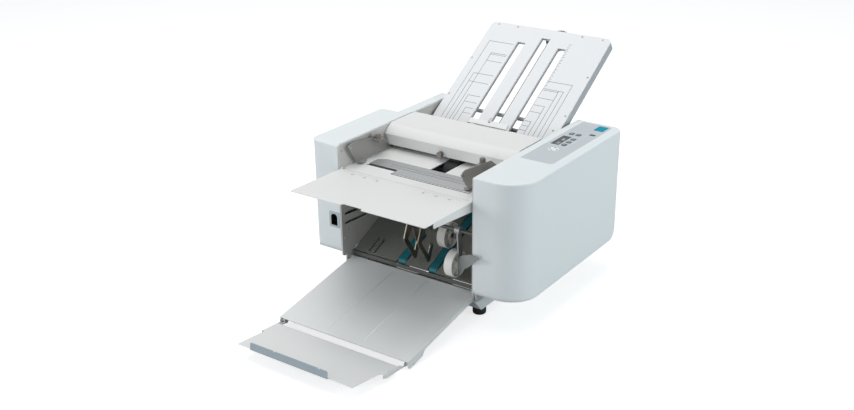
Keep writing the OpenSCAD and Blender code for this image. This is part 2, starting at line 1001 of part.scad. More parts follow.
// Motor on four posts from the right frame plate, its shaft pointing back at the plate
module drive_motor() {
    color(dark_steel) seat() {
        difference() {
            union() {
                bar(motor_axis, 212, 268, motor_r);
                bar(motor_axis, 268, 272, 12);
                along_x(motor_axis, 209, 212)
                    translate([-34, -34])
                        rounded(68, 68, [6, 6, 6, 6]);
            }
            bar(motor_axis, 200, 240, 4 + run);
            for (i = [0:7])
                along_x(motor_axis, 255, 262)
                    rotate(45 * i)
                        translate([motor_r, 0])
                            square([3, 12], center = true);
        }
        for (dy = [-27, 27])
            for (dz = [-27, 27])
                bar(motor_axis + [dy, dz], half, 209.5, 4);
    }
}

module motor_pulley() {
    color(zinc) seat() {
        bar(motor_axis, motor_layer[0] - 2, 238, 4);
        bar(motor_axis, motor_layer[0], motor_layer[1], motor_pulley_r);
        bar(motor_axis, motor_layer[1], motor_layer[1] + 1.2, motor_pulley_r + 3);
    }
}

// Outline round two pulleys: their circles and the strip between the outer tangents
module belt_hull(a, ra, b, rb) {
    reach = norm(b - a);
    lean = acos((ra - rb) / reach);
    heading = atan2(b[1] - a[1], b[0] - a[0]);
    translate(a)
        circle(ra);
    translate(b)
        circle(rb);
    polygon([a + polar(ra, heading + lean), a + polar(ra, heading - lean),
             b + polar(rb, heading - lean), b + polar(rb, heading + lean)]);
}

// Endless belt round two pulleys, standing off them by the passing clearance
module drive_loop(layer, a, ra, b, rb) {
    along_x([0, 0], layer[0] + 1, layer[1] - 1)
        difference() {
            belt_hull(a, ra + belt_gap + 1.8, b, rb + belt_gap + 1.8);
            belt_hull(a, ra + belt_gap, b, rb + belt_gap);
        }
}

// Motor belt, feed belt and delivery belt
module drive_belts() {
    color(rubber_black) seat() {
        drive_loop(motor_layer, main_axis, big_pulley_r, motor_axis, motor_pulley_r);
        drive_loop(belt_layer, feed_axis, feed_pulley_r, main_axis, small_pulley_r);
        drive_loop(belt_layer, lower_axis, small_pulley_r, rear_roller_axis, small_pulley_r);
    }
}

// Circuit board with its transformer and capacitors, on the left frame plate
module power_supply() {
    color("#2F6B45") seat() {
        translate([-half - 9, 60, 190])
            cube([1.6, 150, 100]);
        for (y = [66, 204])
            for (z = [196, 284])
                bar([y, z], -half - 7.5, -half, 3);
        translate([-half - 45, 150, 215])
            cube([37, 46, 50]);
        for (y = [85, 115])
            bar([y, 260], -half - 38, -half - 8, 9);
        translate([-half - 30, 75, 205])
            cube([22, 55, 4]);
    }
}

// ---- delivery ---------------------------------------------------------------------------

// Sloping floor with a window for each conveyor belt and two guide slots at the left
module ramp_floor() {
    color(dark_steel) seat()
        on_ramp() {
            translate([0, 0, -2])
                linear_extrude(2)
                    difference() {
                        translate([-inner, 0])
                            square([2 * inner, ramp_l]);
                        for (x = belt_x)
                            translate([x - belt_w / 2 - 2.5, -1])
                                square([belt_w + 5, belt_ends[1] + 14]);
                        for (x = [-128, -113])
                            translate([x, 27])
                                rotate(90)
                                    round_slot(44, 4);
                        for (s = belt_ends)
                            both_sides()
                                translate([inner - 2, s - 11])
                                    square([4, 22]);
                    }
            both_sides()
                translate([inner - 2, 0, -12])
                    difference() {
                        cube([2, ramp_l - 10, 11]);
                        for (s = belt_ends)
                            translate([-1, s - 11, -1])
                                cube([4, 22, 13]);
                    }
        }
}

// Bright angle strip that closes the ramp's front edge, with a small block at its left end
module front_cross_strip() {
    color(zinc) seat() {
        translate([-inner, 33, 66.5])
            cube([2 * inner, 1.5, 9]);
        difference() {
            translate([-inner, 33, 74])
                cube([2 * inner, 3, 1.5]);
            for (x = belt_x)
                translate([x - belt_w / 2 - 3, 35, 73])
                    cube([belt_w + 6, 3, 4]);
        }
        translate([-152, 34, 62])
            cube([28, 5, 10]);
    }
}

// Both endless conveyor belts, round the front and the rear belt roller
module conveyor_belts() {
    color(teal) seat()
        for (x = belt_x)
            along_x([0, 0], x - belt_w / 2, x + belt_w / 2)
                difference() {
                    belt_hull(rear_roller_axis, belt_r + belt_t, front_roller_axis, belt_r + belt_t);
                    belt_hull(rear_roller_axis, belt_r, front_roller_axis, belt_r);
                }
}

// Rear closing panel between the frame plates, with a row of vent slots
module rear_panel() {
    color(white_paint) seat()
        difference() {
            union() {
                translate([-inner, housing_d - 8, 76])
                    cube([2 * inner, 2, 170]);
                translate([-inner, housing_d - 24, 76])
                    cube([2 * inner, 17, 2]);
                translate([-inner, housing_d - 20, 244])
                    cube([2 * inner, 13, 2]);
            }
            for (i = [-6:6])
                translate([18 * i, housing_d, 205])
                    rotate([90, 90, 0])
                        linear_extrude(12)
                            round_slot(42, 6);
        }
}

bow_x = [-10, 25];
wheel_w = 20;
left_wheel_x = [31, 31 + wheel_w];
right_wheel_x = [89, 89 + wheel_w];
// Wheel centres stand over the ramp: the left one rides on a belt, the right on the floor
left_wheel_axis = [101, ramp_z(101) + (wheel_r + belt_t + gap) / cos(ramp_angle)];
right_wheel_axis = [42, ramp_z(42) + (wheel_r + gap) / cos(ramp_angle)];

function ramp_z(y) = ramp_foot[1] + (y - ramp_foot[0]) * tan(ramp_angle);

// Diamond-shaped bow that keeps the folded sheets down on the ramp
module bow_outline() {
    difference() {
        polygon([[30, 199], [46, 199], [66, 131], [66, 123], [53, 92], [47, 92], [14, 142],
                 [11, 151]]);
        polygon([[40, 170], [56, 128], [48, 108], [23, 146]]);
    }
}

// Flat link between two axes, with round ends
module link(a, b, r, x0, x1) {
    along_x([0, 0], x0, x1)
        belt_hull(a, r, b, r - 0.5);
}

// Two bows and the left wheel's arm on one sleeve, free to swing on the stacker bar
module stacker_bows() {
    color(dark_steel) seat()
        difference() {
            union() {
                for (x = bow_x)
                    along_x([0, 0], x, x + 2.5)
                        bow_outline();
                bar(stacker_axis, bow_x[0] - 3, 30.5, 8);
                link(stacker_axis, left_wheel_axis, 6, 27.5, 30.5);
                bar(left_wheel_axis, 28, left_wheel_x[1] + 2, 3);
                bar(left_wheel_axis, left_wheel_x[1] + 0.5, left_wheel_x[1] + 2, 5);
            }
            bar(stacker_axis, -60, 60, bar_end_r + run);
        }
}

// Stacking wheel: tread with rounded edges, web, hub and spokes on both faces
module stacker_wheel(axis, x0) {
    rim = 3;
    mid = wheel_w / 2;
    translate([x0, axis[0], axis[1]])
        rotate([0, 90, 0])
            difference() {
                union() {
                    rotate_extrude()
                        polygon([[5, 1], [9, 1], [9, mid - 1.5], [wheel_r - rim, mid - 1.5],
                                 [wheel_r - rim, 1], [wheel_r - 1, 0], [wheel_r, 1],
                                 [wheel_r, wheel_w - 1], [wheel_r - 1, wheel_w],
                                 [wheel_r - rim, wheel_w - 1], [wheel_r - rim, mid + 1.5],
                                 [9, mid + 1.5], [9, wheel_w - 1], [5, wheel_w - 1]]);
                    cylinder(r = 6, h = wheel_w);
                    for (i = [0:7])
                        rotate(45 * i)
                            translate([8, -1, 2.5])
                                cube([wheel_r - rim - 7.5, 2, wheel_w - 5]);
                }
                translate([0, 0, -1])
                    cylinder(r = 3 + run, h = wheel_w + 2);
            }
}

module left_stacker_wheel() {
    color(nylon) seat()
        stacker_wheel(left_wheel_axis, left_wheel_x[0]);
}

module right_stacker_wheel() {
    color(nylon) seat()
        stacker_wheel(right_wheel_axis, right_wheel_x[0]);
}

// Right wheel's arm with the pointed lift lever that reaches past the housing's edge
module stacker_lever() {
    color(steel_grey) seat()
        difference() {
            union() {
                link(stacker_axis, right_wheel_axis, 7, 110, 113);
                bar(stacker_axis, 104, 116, 8);
                bar(right_wheel_axis, right_wheel_x[0] - 1.5, 112, 3);
                bar(right_wheel_axis, right_wheel_x[0] - 1.9, right_wheel_x[0] - 0.5, 5);
                translate([111, 37, 0])
                    rotate([0, 0, -34])
                        rotate([90, 0, 0])
                            linear_extrude(1.5)
                                polygon([[0, 106], [8, 134], [16, 140], [64, 164], [100, 171],
                                         [98, 165], [51, 129], [34, 118], [20, 100]]);
            }
            bar(stacker_axis, 100, 120, bar_end_r + run);
        }
}

// ---- delivery tray ----------------------------------------------------------------------

tray_half = 163;

// Tray sheet with two raised beads, low side lips and the brackets that hold the flap
module delivery_tray() {
    flap_y = -(tray_l - 6);
    flap_z = -6.9;
    color(tray_grey) seat()
        on_tray() {
            translate([-tray_half, -tray_l, 1.5])
                cube([2 * tray_half, tray_l + 2, 1.5]);
            for (x = [-44, 42])
                translate([x, -6, 2.6])
                    rotate([90, 0, 0])
                        cylinder(r = 1.2, h = tray_l - 24, $fn = 24);
            both_sides() {
                translate([tray_half - 1.5, 0, 0])
                    rotate([90, 0, 90])
                        linear_extrude(1.5)
                            difference() {
                                union() {
                                    polygon([[0, 2], [-10, -5], [-190, -5], [-200, -14], [-tray_l + 14, -15.5],
                                             [-tray_l + 14, 0], [-tray_l, 2], [-tray_l, 3], [2, 3]]);
                                    circle(5);
                                    translate([flap_y, flap_z])
                                        circle(8);
                                    translate([flap_y, flap_z])
                                        square([14, 9]);
                                }
                                translate([flap_y, flap_z])
                                    circle(3 + run);
                                translate([-205, -9])
                                    circle(1.6, $fn = 24);
                            }
                translate([tray_half - 1.5, 0, 0])
                    rotate([0, 90, 0])
                        cylinder(r = 2.5, h = half - tray_half + 1);
            }
        }
}

// Extension flap: stepped sheet, bent ears that run back to the pivots, turned-up front lip
module tray_flap() {
    color(tray_grey) seat()
        on_flap() {
            translate([0, 0, 1.5])
                linear_extrude(1.5)
                    polygon([[-153, -26], [153, -26], [150, -73], [145, -73], [142, -flap_l],
                             [85, -flap_l], [85, -flap_l - 3], [-107, -flap_l - 3], [-107, -flap_l],
                             [-142, -flap_l], [-145, -73], [-150, -73]]);
            both_sides() {
                translate([151.5, 0, 0])
                    rotate([90, 0, 90])
                        linear_extrude(1.5)
                            polygon([[-4, -2.5], [-4, -5], [-30, -7], [-60, -9], [-72, -6], [-72, 1.5],
                                     [-26, 3], [-20, 3], [-13, -2.5]]);
                along_x([0, 0], 151.5, 153)
                    circle(6.5);
                along_x([0, 0], 151.5, tray_half + 0.4)
                    circle(3);
            }
            translate([0, -flap_l - 1.6, 1.5])
                rotate([90, 0, 0])
                    linear_extrude(1.5)
                        difference() {
                            translate([-107, 0])
                                rounded(192, 16, [0, 0, 4, 4]);
                            for (x = [-46, 64])
                                translate([x, 17])
                                    circle(3, $fn = 32);
                        }
        }
}

// ---- inlet and controls -----------------------------------------------------------------

// Mains inlet: bezel on the housing, socket with clipped corners, three pins
module power_inlet() {
    color(key_dark) seat()
        translate([inlet_low[0], 0, inlet_low[1]]) {
            difference() {
                union() {
                    translate([0, -1.5, 0])
                        cube([inlet_size[0], 1.5, inlet_size[1]]);
                    translate([1.6, -0.5, 1.6])
                        cube([inlet_size[0] - 3.2, 25, inlet_size[1] - 3.2]);
                }
                translate([0, 20, 0])
                    rotate([90, 0, 0])
                        linear_extrude(24)
                            polygon([[5, 5], [inlet_size[0] - 5, 5], [inlet_size[0] - 5, inlet_size[1] - 10],
                                     [inlet_size[0] - 9, inlet_size[1] - 5], [9, inlet_size[1] - 5],
                                     [5, inlet_size[1] - 10]]);
            }
            for (pin = [[9, 11], [18, 11], [13.5, 22]])
                translate([pin[0] - 1, 8, pin[1] - 2])
                    cube([2, 13, 4]);
        }
}

// Key places on the panel: centre and size in plan
start_key_box = [[243, 396.5], [22, 31]];
stop_key_box = [[246, 350], [12, 8]];
pad_centre = [219, 228];
pad_r = 12;
small_key_size = [10, 12];
small_keys = [[225, 263], [225, 283], [225, 303], [205, 334], [221, 334]];
key_drop = 0.9;                // how far a key's body reaches below the housing's top
key_rise = 0.6;                // how far it stands above

module key_outline(centre, size, grow) {
    translate(centre - size / 2 - [grow, grow])
        rounded(size[0] + 2 * grow, size[1] + 2 * grow, [1.5, 1.5, 1.5, 1.5]);
}

display_box = [[205, 286], [20, 60]];

// Panel plate in the housing's recess, with a hole for each key and the display
module control_panel() {
    color("#B4B9BC") seat()
        translate([0, 0, top_z - panel_t])
            linear_extrude(panel_t)
                difference() {
                    panel_outline(0);
                    key_outline(start_key_box[0], start_key_box[1], gap);
                    key_outline(stop_key_box[0], stop_key_box[1], gap);
                    key_outline(display_box[0], display_box[1], 0);
                    translate(pad_centre)
                        circle(pad_r + gap);
                    for (key = small_keys)
                        key_outline(key, small_key_size, gap);
                }
}

module display_window() {
    color("#3C4246") seat()
        translate([0, 0, top_z - panel_t])
            linear_extrude(panel_t - 0.2)
                key_outline(display_box[0], display_box[1], 0);
}

module key_cap(centre, size) {
    translate([0, 0, top_z - key_drop])
        linear_extrude(key_drop + key_rise)
            key_outline(centre, size, 0);
}

module start_key() {
    color("#12A8C4") seat()
        key_cap(start_key_box[0], start_key_box[1]);
}

module stop_key() {
    color(key_dark) seat()
        key_cap(stop_key_box[0], stop_key_box[1]);
}

// Round four-way pad with a dished centre
module program_pad() {
    color(white_paint) seat()
        translate([pad_centre[0], pad_centre[1], top_z - key_drop])
            difference() {
                cylinder(r = pad_r, h = key_drop + key_rise);
                translate([0, 0, key_drop + 0.2])
                    cylinder(r = 4, h = 1);
            }
}

module small_key(i) {
    color(key_dark) seat()
        key_cap(small_keys[i], small_key_size);
}

module key_1() { small_key(0); }
module key_2() { small_key(1); }
module key_3() { small_key(2); }
module key_4() { small_key(3); }
module key_5() { small_key(4); }

// ---- drawing ----------------------------------------------------------------------------

base_frame();
feet();
left_frame_plate();
right_frame_plate();
left_housing();
right_housing();
cross_bars();
shaft_bushes();
feed_table();
feed_plate();
ramp_floor();
front_cross_strip();
conveyor_belts();
rear_panel();
lower_fold_plate();
drive_motor();
drive_belts();
power_supply();
power_inlet();
control_panel();
display_window();
separator_pad();
lower_fold_stop();
top_cover();
cover_knob();
feed_shelf();
left_side_guide();
left_guide_knob();
right_side_guide();
right_guide_knob();
delivery_tray();
tray_flap();
fold_plate_front();
fold_plate_back();
fold_stop();
skew_knob();
feed_roller();
upper_fold_roller();
main_fold_roller();
rear_fold_roller();
lower_fold_roller();
upper_gear();
main_gear();
rear_gear();
lower_gear();
motor_pulley();
front_belt_roller();
rear_belt_roller();
stacker_bows();
left_stacker_wheel();
stacker_lever();
right_stacker_wheel();
start_key();
stop_key();
program_pad();
key_1();
key_2();
key_3();
key_4();
key_5();
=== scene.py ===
"""Looks for the desk-top paper folding machine: finishes, printed scales, screws and stage."""
import json
import logging
import math
from dataclasses import dataclass
from enum import Enum
from typing import Callable, Iterable, Optional, Sequence

import bmesh
import bpy
from mathutils import Matrix, Vector

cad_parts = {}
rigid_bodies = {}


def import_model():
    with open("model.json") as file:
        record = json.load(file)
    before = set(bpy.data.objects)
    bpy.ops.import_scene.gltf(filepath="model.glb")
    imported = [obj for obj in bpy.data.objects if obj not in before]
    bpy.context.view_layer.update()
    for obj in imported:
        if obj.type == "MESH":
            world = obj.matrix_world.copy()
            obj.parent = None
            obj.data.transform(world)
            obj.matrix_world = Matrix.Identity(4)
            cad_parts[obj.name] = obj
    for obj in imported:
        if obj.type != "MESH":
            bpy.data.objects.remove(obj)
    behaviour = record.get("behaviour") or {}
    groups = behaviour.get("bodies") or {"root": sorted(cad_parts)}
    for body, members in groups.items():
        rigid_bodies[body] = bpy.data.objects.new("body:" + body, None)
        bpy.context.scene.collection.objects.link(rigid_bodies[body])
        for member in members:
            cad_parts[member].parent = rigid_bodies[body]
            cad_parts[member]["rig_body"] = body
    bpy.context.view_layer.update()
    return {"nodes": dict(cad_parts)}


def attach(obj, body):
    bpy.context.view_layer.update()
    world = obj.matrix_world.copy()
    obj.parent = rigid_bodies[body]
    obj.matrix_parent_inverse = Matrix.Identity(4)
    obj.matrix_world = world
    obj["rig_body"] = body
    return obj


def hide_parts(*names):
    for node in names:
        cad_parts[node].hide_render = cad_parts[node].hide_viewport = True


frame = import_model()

log = logging.getLogger("folding_machine")

MM = 0.001
# Machine frame (middle of the opening, front of the housings, table) to the model's origin
SEAT_X = -16.5
SEAT_Y = -137.005
# Top of the housings, inner face of the frame plates, and half the height of printed ink
TOP_Z = 330.0
INNER = 167.0
INK_DEPTH = 0.06

Point = tuple[float, float, float]
Box = tuple[Point, Point]


class Axis(Enum):
    """Direction in which a rolled or brushed metal's grain runs."""

    X = (1.0, 12.0, 12.0)
    Y = (12.0, 1.0, 12.0)


class Edge(Enum):
    """How far a finished piece's edges are broken, in millimetres."""

    NONE = 0.0
    SHEET = 0.25
    MOULDED = 0.4
    FOLDED = 0.6


# ---- colour and nodes ----


def linear(hex_colour: str) -> tuple[float, float, float, float]:
    """Turns an sRGB hex colour to linear RGBA.

    Args:
        hex_colour: Colour as "#RRGGBB".

    Returns:
        Linear red, green, blue and an alpha of 1.
    """
    parts = [int(hex_colour[i:i + 2], 16) / 255 for i in (1, 3, 5)]
    r, g, b = (c / 12.92 if c <= 0.04045 else ((c + 0.055) / 1.055) ** 2.4 for c in parts)
    return (r, g, b, 1.0)


def add(tree: bpy.types.NodeTree, kind: str, settings: Optional[dict] = None,
        inputs: Optional[dict] = None) -> bpy.types.Node:
    """Adds a node with its settings, values and links.

    Args:
        tree: Node tree that receives the node.
        kind: Node type, such as "ShaderNodeTexNoise".
        settings: Attributes to set on the node.
        inputs: Input name or index to a value, or to an output socket to link from.

    Returns:
        The new node.
    """
    node = tree.nodes.new(kind)
    for key, value in (settings or {}).items():
        setattr(node, key, value)
    for key, value in (inputs or {}).items():
        if isinstance(value, bpy.types.NodeSocket):
            tree.links.new(value, node.inputs[key])
        else:
            node.inputs[key].default_value = value
    return node


def fresh_tree(owner: bpy.types.ID) -> bpy.types.NodeTree:
    """Turns on a material's or world's nodes and clears them."""
    owner.use_nodes = True
    owner.node_tree.nodes.clear()
    return owner.node_tree


def mix_colours(tree: bpy.types.NodeTree, factor: bpy.types.NodeSocket, low: tuple,
                high: tuple) -> bpy.types.NodeSocket:
    """Blends two linear colours by a factor socket."""
    # The node's sockets 6, 7 and result 2 are those for colours
    mix = add(tree, "ShaderNodeMix", {"data_type": "RGBA"}, {0: factor, 6: low, 7: high})
    return mix.outputs[2]


def grain(mm: float) -> float:
    """Noise scale for a feature of that size in millimetres, on coordinates in metres."""
    return 1.0 / (mm * MM)


@dataclass(frozen=True)
class Sources:
    """Node tree and the sockets that a finish builds on.

    place: object coordinates; fine: noise at the grain size; patch: slow noise.
    """

    tree: bpy.types.NodeTree
    place: bpy.types.NodeSocket
    fine: bpy.types.NodeSocket
    patch: bpy.types.NodeSocket


@dataclass(frozen=True)
class Finish:
    """A surface finish: base colour, sheen and the fine structure that breaks its surface."""

    name: str
    colour: str
    roughness: float = 0.45
    metallic: float = 0.0
    grain_mm: float = 1.6
    bump: float = 0.04
    tone: float = 0.03
    patch_mm: float = 90.0
    brushed: Optional[Axis] = None
    ior: float = 1.5

    def build(self) -> bpy.types.Material:
        """Makes the node material, which reads object coordinates."""
        mat = bpy.data.materials.new(self.name)
        tree = fresh_tree(mat)
        place = add(tree, "ShaderNodeTexCoord").outputs["Object"]
        stretch = self.brushed.value if self.brushed else (1.0, 1.0, 1.0)
        along = add(tree, "ShaderNodeMapping", inputs={"Vector": place, "Scale": stretch})
        fine = add(tree, "ShaderNodeTexNoise",
                   inputs={"Vector": along.outputs[0], "Scale": grain(self.grain_mm) / max(stretch),
                           "Detail": 4.0, "Roughness": 0.6})
        patch = add(tree, "ShaderNodeTexNoise",
                    inputs={"Vector": place, "Scale": grain(self.patch_mm), "Detail": 2.0})
        at = Sources(tree, place, fine.outputs[0], patch.outputs[0])
        tint = self.colour_nodes(at)
        rough = add(tree, "ShaderNodeMapRange",
                    inputs={0: at.fine, 1: 0.3, 2: 0.7, 3: self.roughness - 0.05,
                            4: self.roughness + 0.06})
        relief = self.relief_nodes(at)
        bsdf = add(tree, "ShaderNodeBsdfPrincipled",
                   inputs={"Base Color": tint, "Roughness": rough.outputs[0],
                           "Metallic": self.metallic, "Normal": relief})
        if self.metallic < 0.5:
            bsdf.inputs["IOR"].default_value = self.ior
        add(tree, "ShaderNodeOutputMaterial", inputs={"Surface": bsdf.outputs[0]})
        mat.diffuse_color = linear(self.colour)
        return mat

    def colour_nodes(self, at: Sources) -> bpy.types.NodeSocket:
        """Base colour, varied a little from place to place."""
        base = linear(self.colour)
        dark = tuple(c * (1 - self.tone) for c in base[:3]) + (1.0,)
        mixed = add(at.tree, "ShaderNodeMath", {"operation": "MULTIPLY_ADD"},
                    {0: at.fine, 1: 0.35, 2: 0.0})
        total = add(at.tree, "ShaderNodeMath", {"operation": "MULTIPLY_ADD", "use_clamp": True},
                    {0: at.patch, 1: 0.65, 2: mixed.outputs[0]})
        return mix_colours(at.tree, total.outputs[0], dark, base)

    def relief_nodes(self, at: Sources) -> bpy.types.NodeSocket:
        """Fine relief of the surface, as a normal socket."""
        bump = add(at.tree, "ShaderNodeBump",
                   inputs={"Strength": min(1.0, self.bump * 4), "Distance": self.bump * MM,
                           "Height": at.fine})
        return bump.outputs[0]


@dataclass(frozen=True)
class RibbedBelt(Finish):
    """Woven conveyor belt under a thin film: cross ribs show as a fine even pattern."""

    pitch_mm: float = 2.5

    def relief_nodes(self, at: Sources) -> bpy.types.NodeSocket:
        """Cross ribs under the fine grain; takes and gives what the plain finish does."""
        ribs = add(at.tree, "ShaderNodeTexWave", {"bands_direction": "Y"},
                   {"Vector": at.place, "Scale": grain(self.pitch_mm) / 3.14, "Distortion": 0.2})
        first = add(at.tree, "ShaderNodeBump",
                    inputs={"Strength": 0.35, "Distance": 0.15 * MM, "Height": ribs.outputs[1]})
        second = add(at.tree, "ShaderNodeBump",
                     inputs={"Strength": 0.2, "Distance": self.bump * MM,
                             "Height": at.fine, "Normal": first.outputs[0]})
        return second.outputs[0]


@dataclass(frozen=True)
class Board(Finish):
    """Circuit board under solder mask, with lighter copper traces showing through."""

    cell_mm: float = 6.0
    traces: str = "#4C8A5E"

    def colour_nodes(self, at: Sources) -> bpy.types.NodeSocket:
        """Traces from a squared-off cell pattern, over the solder mask's colour."""
        cells = add(at.tree, "ShaderNodeTexVoronoi", {"distance": "CHEBYCHEV", "feature": "F1"},
                    {"Vector": at.place, "Scale": grain(self.cell_mm)})
        edge = add(at.tree, "ShaderNodeMath", {"operation": "GREATER_THAN"},
                   {0: cells.outputs["Distance"], 1: 0.42})
        return mix_colours(at.tree, edge.outputs[0], linear(self.colour), linear(self.traces))


# Values in order: name, colour, roughness, metallic, grain in mm, relief in mm, tone, size of
# the slow patches in mm, brushed along
# Powder coat baked on sheet steel: near-white, satin, with a fine orange peel
WHITE_COAT = Finish("white_powder_coat", "#E5EAEB", 0.42, 0.0, 1.4, 0.05, 0.02)
# The same coat in the warmer white of the cover and shelf
WARM_COAT = Finish("warm_powder_coat", "#E4E4E2", 0.46, 0.0, 1.4, 0.04, 0.02)
# Smooth pre-painted sheet of the folding plate: flatter sheen, printed on
PRINT_SHEET = Finish("prepainted_sheet", "#E6E7E8", 0.5, 0.0, 2.2, 0.02, 0.015)
# The folding plate's outer rail: the same sheet, left grey
RAIL_SHEET = Finish("grey_rail_sheet", "#B4B8BA", 0.42, 0.1, 1.2, 0.03, 0.06, 60, Axis.Y)
# Mill-finished stainless sheet of the guides, brushed front to back: long streaks
BRUSHED_SIDE = Finish("brushed_stainless_y", "#A19F9C", 0.38, 0.6, 0.35, 0.03, 0.12, 60, Axis.Y)
# Steel sheet of the frame's side plates: dull light grey with faint streaks, painted lighter than
# the steel as a painted reflection of the white tray and floor
FRAME_SHEET = Finish("frame_sheet_painted_reflection", "#CAC8C5", 0.46, 0.25, 0.5, 0.03, 0.1, 50, Axis.Y)
# Stainless sheet with its grain across the machine
BRUSHED_CROSS = Finish("brushed_stainless_x", "#AEB0B1", 0.36, 0.6, 0.35, 0.03, 0.12, 60, Axis.X)
# Satin-lacquered aluminium of the tray: light grey, broad dull reflection
SATIN_TRAY = Finish("lacquered_aluminium", "#E0E1E0", 0.48, 0.12, 0.8, 0.02, 0.05, 140, Axis.Y)
# The flap in the same sheet, in nearly the same light grey with a little less variation
SATIN_FLAP = Finish("pale_lacquered_aluminium", "#DFDFDE", 0.48, 0.12, 0.8, 0.02, 0.04, 140, Axis.Y)
# Painted shade on the flap's front lip: bluish grey, as the front faces look in shade
LIP_SHADE = Finish("lip_painted_shade", "#A9B4BA", 0.42, 0.2, 0.8, 0.03, 0.05, 60, Axis.X)
# Zinc plate: pale bluish grey with faint cloudy patches
ZINC = Finish("zinc_plated_steel", "#B9BDBD", 0.34, 0.8, 0.9, 0.03, 0.14, 18)
# Phosphated bars and strips: dull dark grey
PHOSPHATE = Finish("phosphated_steel", "#63635F", 0.5, 0.5, 0.8, 0.03, 0.16, 25)
# Nickel plate on turned screws, dulled by handling
NICKEL = Finish("dulled_nickel_plate", "#8A857F", 0.3, 0.8, 0.5, 0.02, 0.1, 10)
# Rolled dark steel of the ramp floor: low gloss, brushed down the slope
RAMP_STEEL = Finish("dark_rolled_steel", "#84857F", 0.45, 0.3, 0.5, 0.03, 0.16, 40, Axis.Y)
# Burnished spring steel of the stacker bows: dark but glossy
BOW_STEEL = Finish("burnished_spring_steel", "#807B70", 0.26, 0.8, 0.6, 0.02, 0.2, 25)
# Hammered-paint motor body
MOTOR_PAINT = Finish("dark_enamel", "#3A3C3D", 0.4, 0.0, 2.0, 0.08, 0.15)
# Ground polyurethane rubber of the rollers and feet: matt black with dust in the grain
RUBBER = Finish("ground_rubber", "#17191A", 0.72, 0.0, 0.6, 0.08, 0.3)
# Moulded polyamide of gears and wheels: warm white, slight gloss
POLYAMIDE = Finish("moulded_polyamide", "#EFEDE7", 0.38, 0.0, 2.5, 0.03, 0.05)
# White ABS of the fold stop: clean and slightly glossy
WHITE_ABS = Finish("white_moulded_abs", "#F2F3F3", 0.35, 0.0, 0.8, 0.02, 0.02)
# Dark moulded ABS of the knob: fine spark-eroded texture
DARK_ABS = Finish("dark_moulded_abs", "#45494C", 0.5, 0.0, 0.5, 0.05, 0.12)
# Black ABS of the inlet's socket; the same black is the painted shade in the screws' cross recesses
BLACK_ABS_AND_SHADE = Finish("black_abs_and_painted_shade", "#15191B", 0.4, 0.0, 0.5, 0.05, 0.15)
# Pale grey ABS of the inlet's bezel
GREY_ABS = Finish("grey_moulded_abs", "#BAC2C6", 0.45, 0.0, 0.6, 0.05, 0.06)
# Polyester membrane over the panel: grey, evenly embossed
MEMBRANE = Finish("panel_membrane", "#C0C6CA", 0.42, 0.0, 0.5, 0.03, 0.02)
# Darker keys printed and embossed in the same membrane
KEY_FILM = Finish("key_membrane", "#535D63", 0.5, 0.0, 0.5, 0.03, 0.04, ior=1.3)
# Start key: cyan ink behind clear film
START_FILM = Finish("cyan_key_film", "#0E93AC", 0.6, 0.0, 0.5, 0.03, 0.03, ior=1.2)
# Acrylic display window, dark from behind
WINDOW = Finish("display_acrylic", "#3D4347", 0.3, 0.0, 3.0, 0.005, 0.05, ior=1.3)
# Screen-printed ink: dark grey-blue, flat
INK = Finish("printed_ink", "#33383B", 0.6, 0.0, 0.4, 0.01, 0.1)
# Black screen-printed ink; the same black paints the shadow at the steel plate's front edge and the
# shade along the slots' edges
BLACK_INK_AND_SHADE = Finish("black_ink_and_painted_shade", "#202426", 0.6, 0.0, 0.4, 0.01, 0.1)
# White screen-printed ink
WHITE_INK = Finish("white_ink", "#EDEFF0", 0.55, 0.0, 0.4, 0.01, 0.03)
# Teal conveyor belt
BELT = RibbedBelt("ribbed_teal_belt", "#0A6A76", 0.5, 0.0, 0.6, 0.05, 0.15)
# Green solder mask
BOARD = Board("solder_masked_board", "#1E5C38", 0.35, 0.0, 0.8, 0.03)

_built: dict[str, bpy.types.Material] = {}


def material(finish: Finish) -> bpy.types.Material:
    """The finish's material, made once."""
    if finish.name not in _built:
        _built[finish.name] = finish.build()
    return _built[finish.name]


# ---- meshes ----


def seat(x: float, y: float, z: float) -> Vector:
    """A point of the machine frame, in millimetres, in the model's metres."""
    return Vector(((x + SEAT_X) * MM, (y + SEAT_Y) * MM, z * MM))


def plane_matrix(origin: Point, tilt: float) -> Matrix:
    """Frame of a sloping plate: X across, Y up its slope, Z square to it.

    Args:
        origin: Its origin in the machine frame, millimetres.
        tilt: Slope about X in degrees.

    Returns:
        Matrix that takes millimetres on the plate to model metres.
    """
    return (Matrix.Translation(seat(*origin)) @ Matrix.Rotation(math.radians(tilt), 4, "X")
            @ Matrix.Scale(MM, 4))


# Frame of the machine itself: millimetres to model metres
MACHINE = Matrix.Translation(seat(0, 0, 0)) @ Matrix.Scale(MM, 4)


def moved(x: float, y: float, z: float = 0.0) -> Matrix:
    """A move, in the units of what it is applied to."""
    return Matrix.Translation((x, y, z))


def turned(axis: str, degrees: float) -> Matrix:
    """A turn about an axis through the origin."""
    return Matrix.Rotation(math.radians(degrees), 4, axis)


def settle(bm: bmesh.types.BMesh, name: str) -> bpy.types.Mesh:
    """Writes a bmesh to a new mesh of that name and frees it."""
    mesh = bpy.data.meshes.new(name)
    bm.to_mesh(mesh)
    bm.free()
    return mesh


def link(name: str, data: Optional[bpy.types.ID]) -> bpy.types.Object:
    """Makes an object of some data and puts it into the scene."""
    thing = bpy.data.objects.new(name, data)
    bpy.context.scene.collection.objects.link(thing)
    return thing


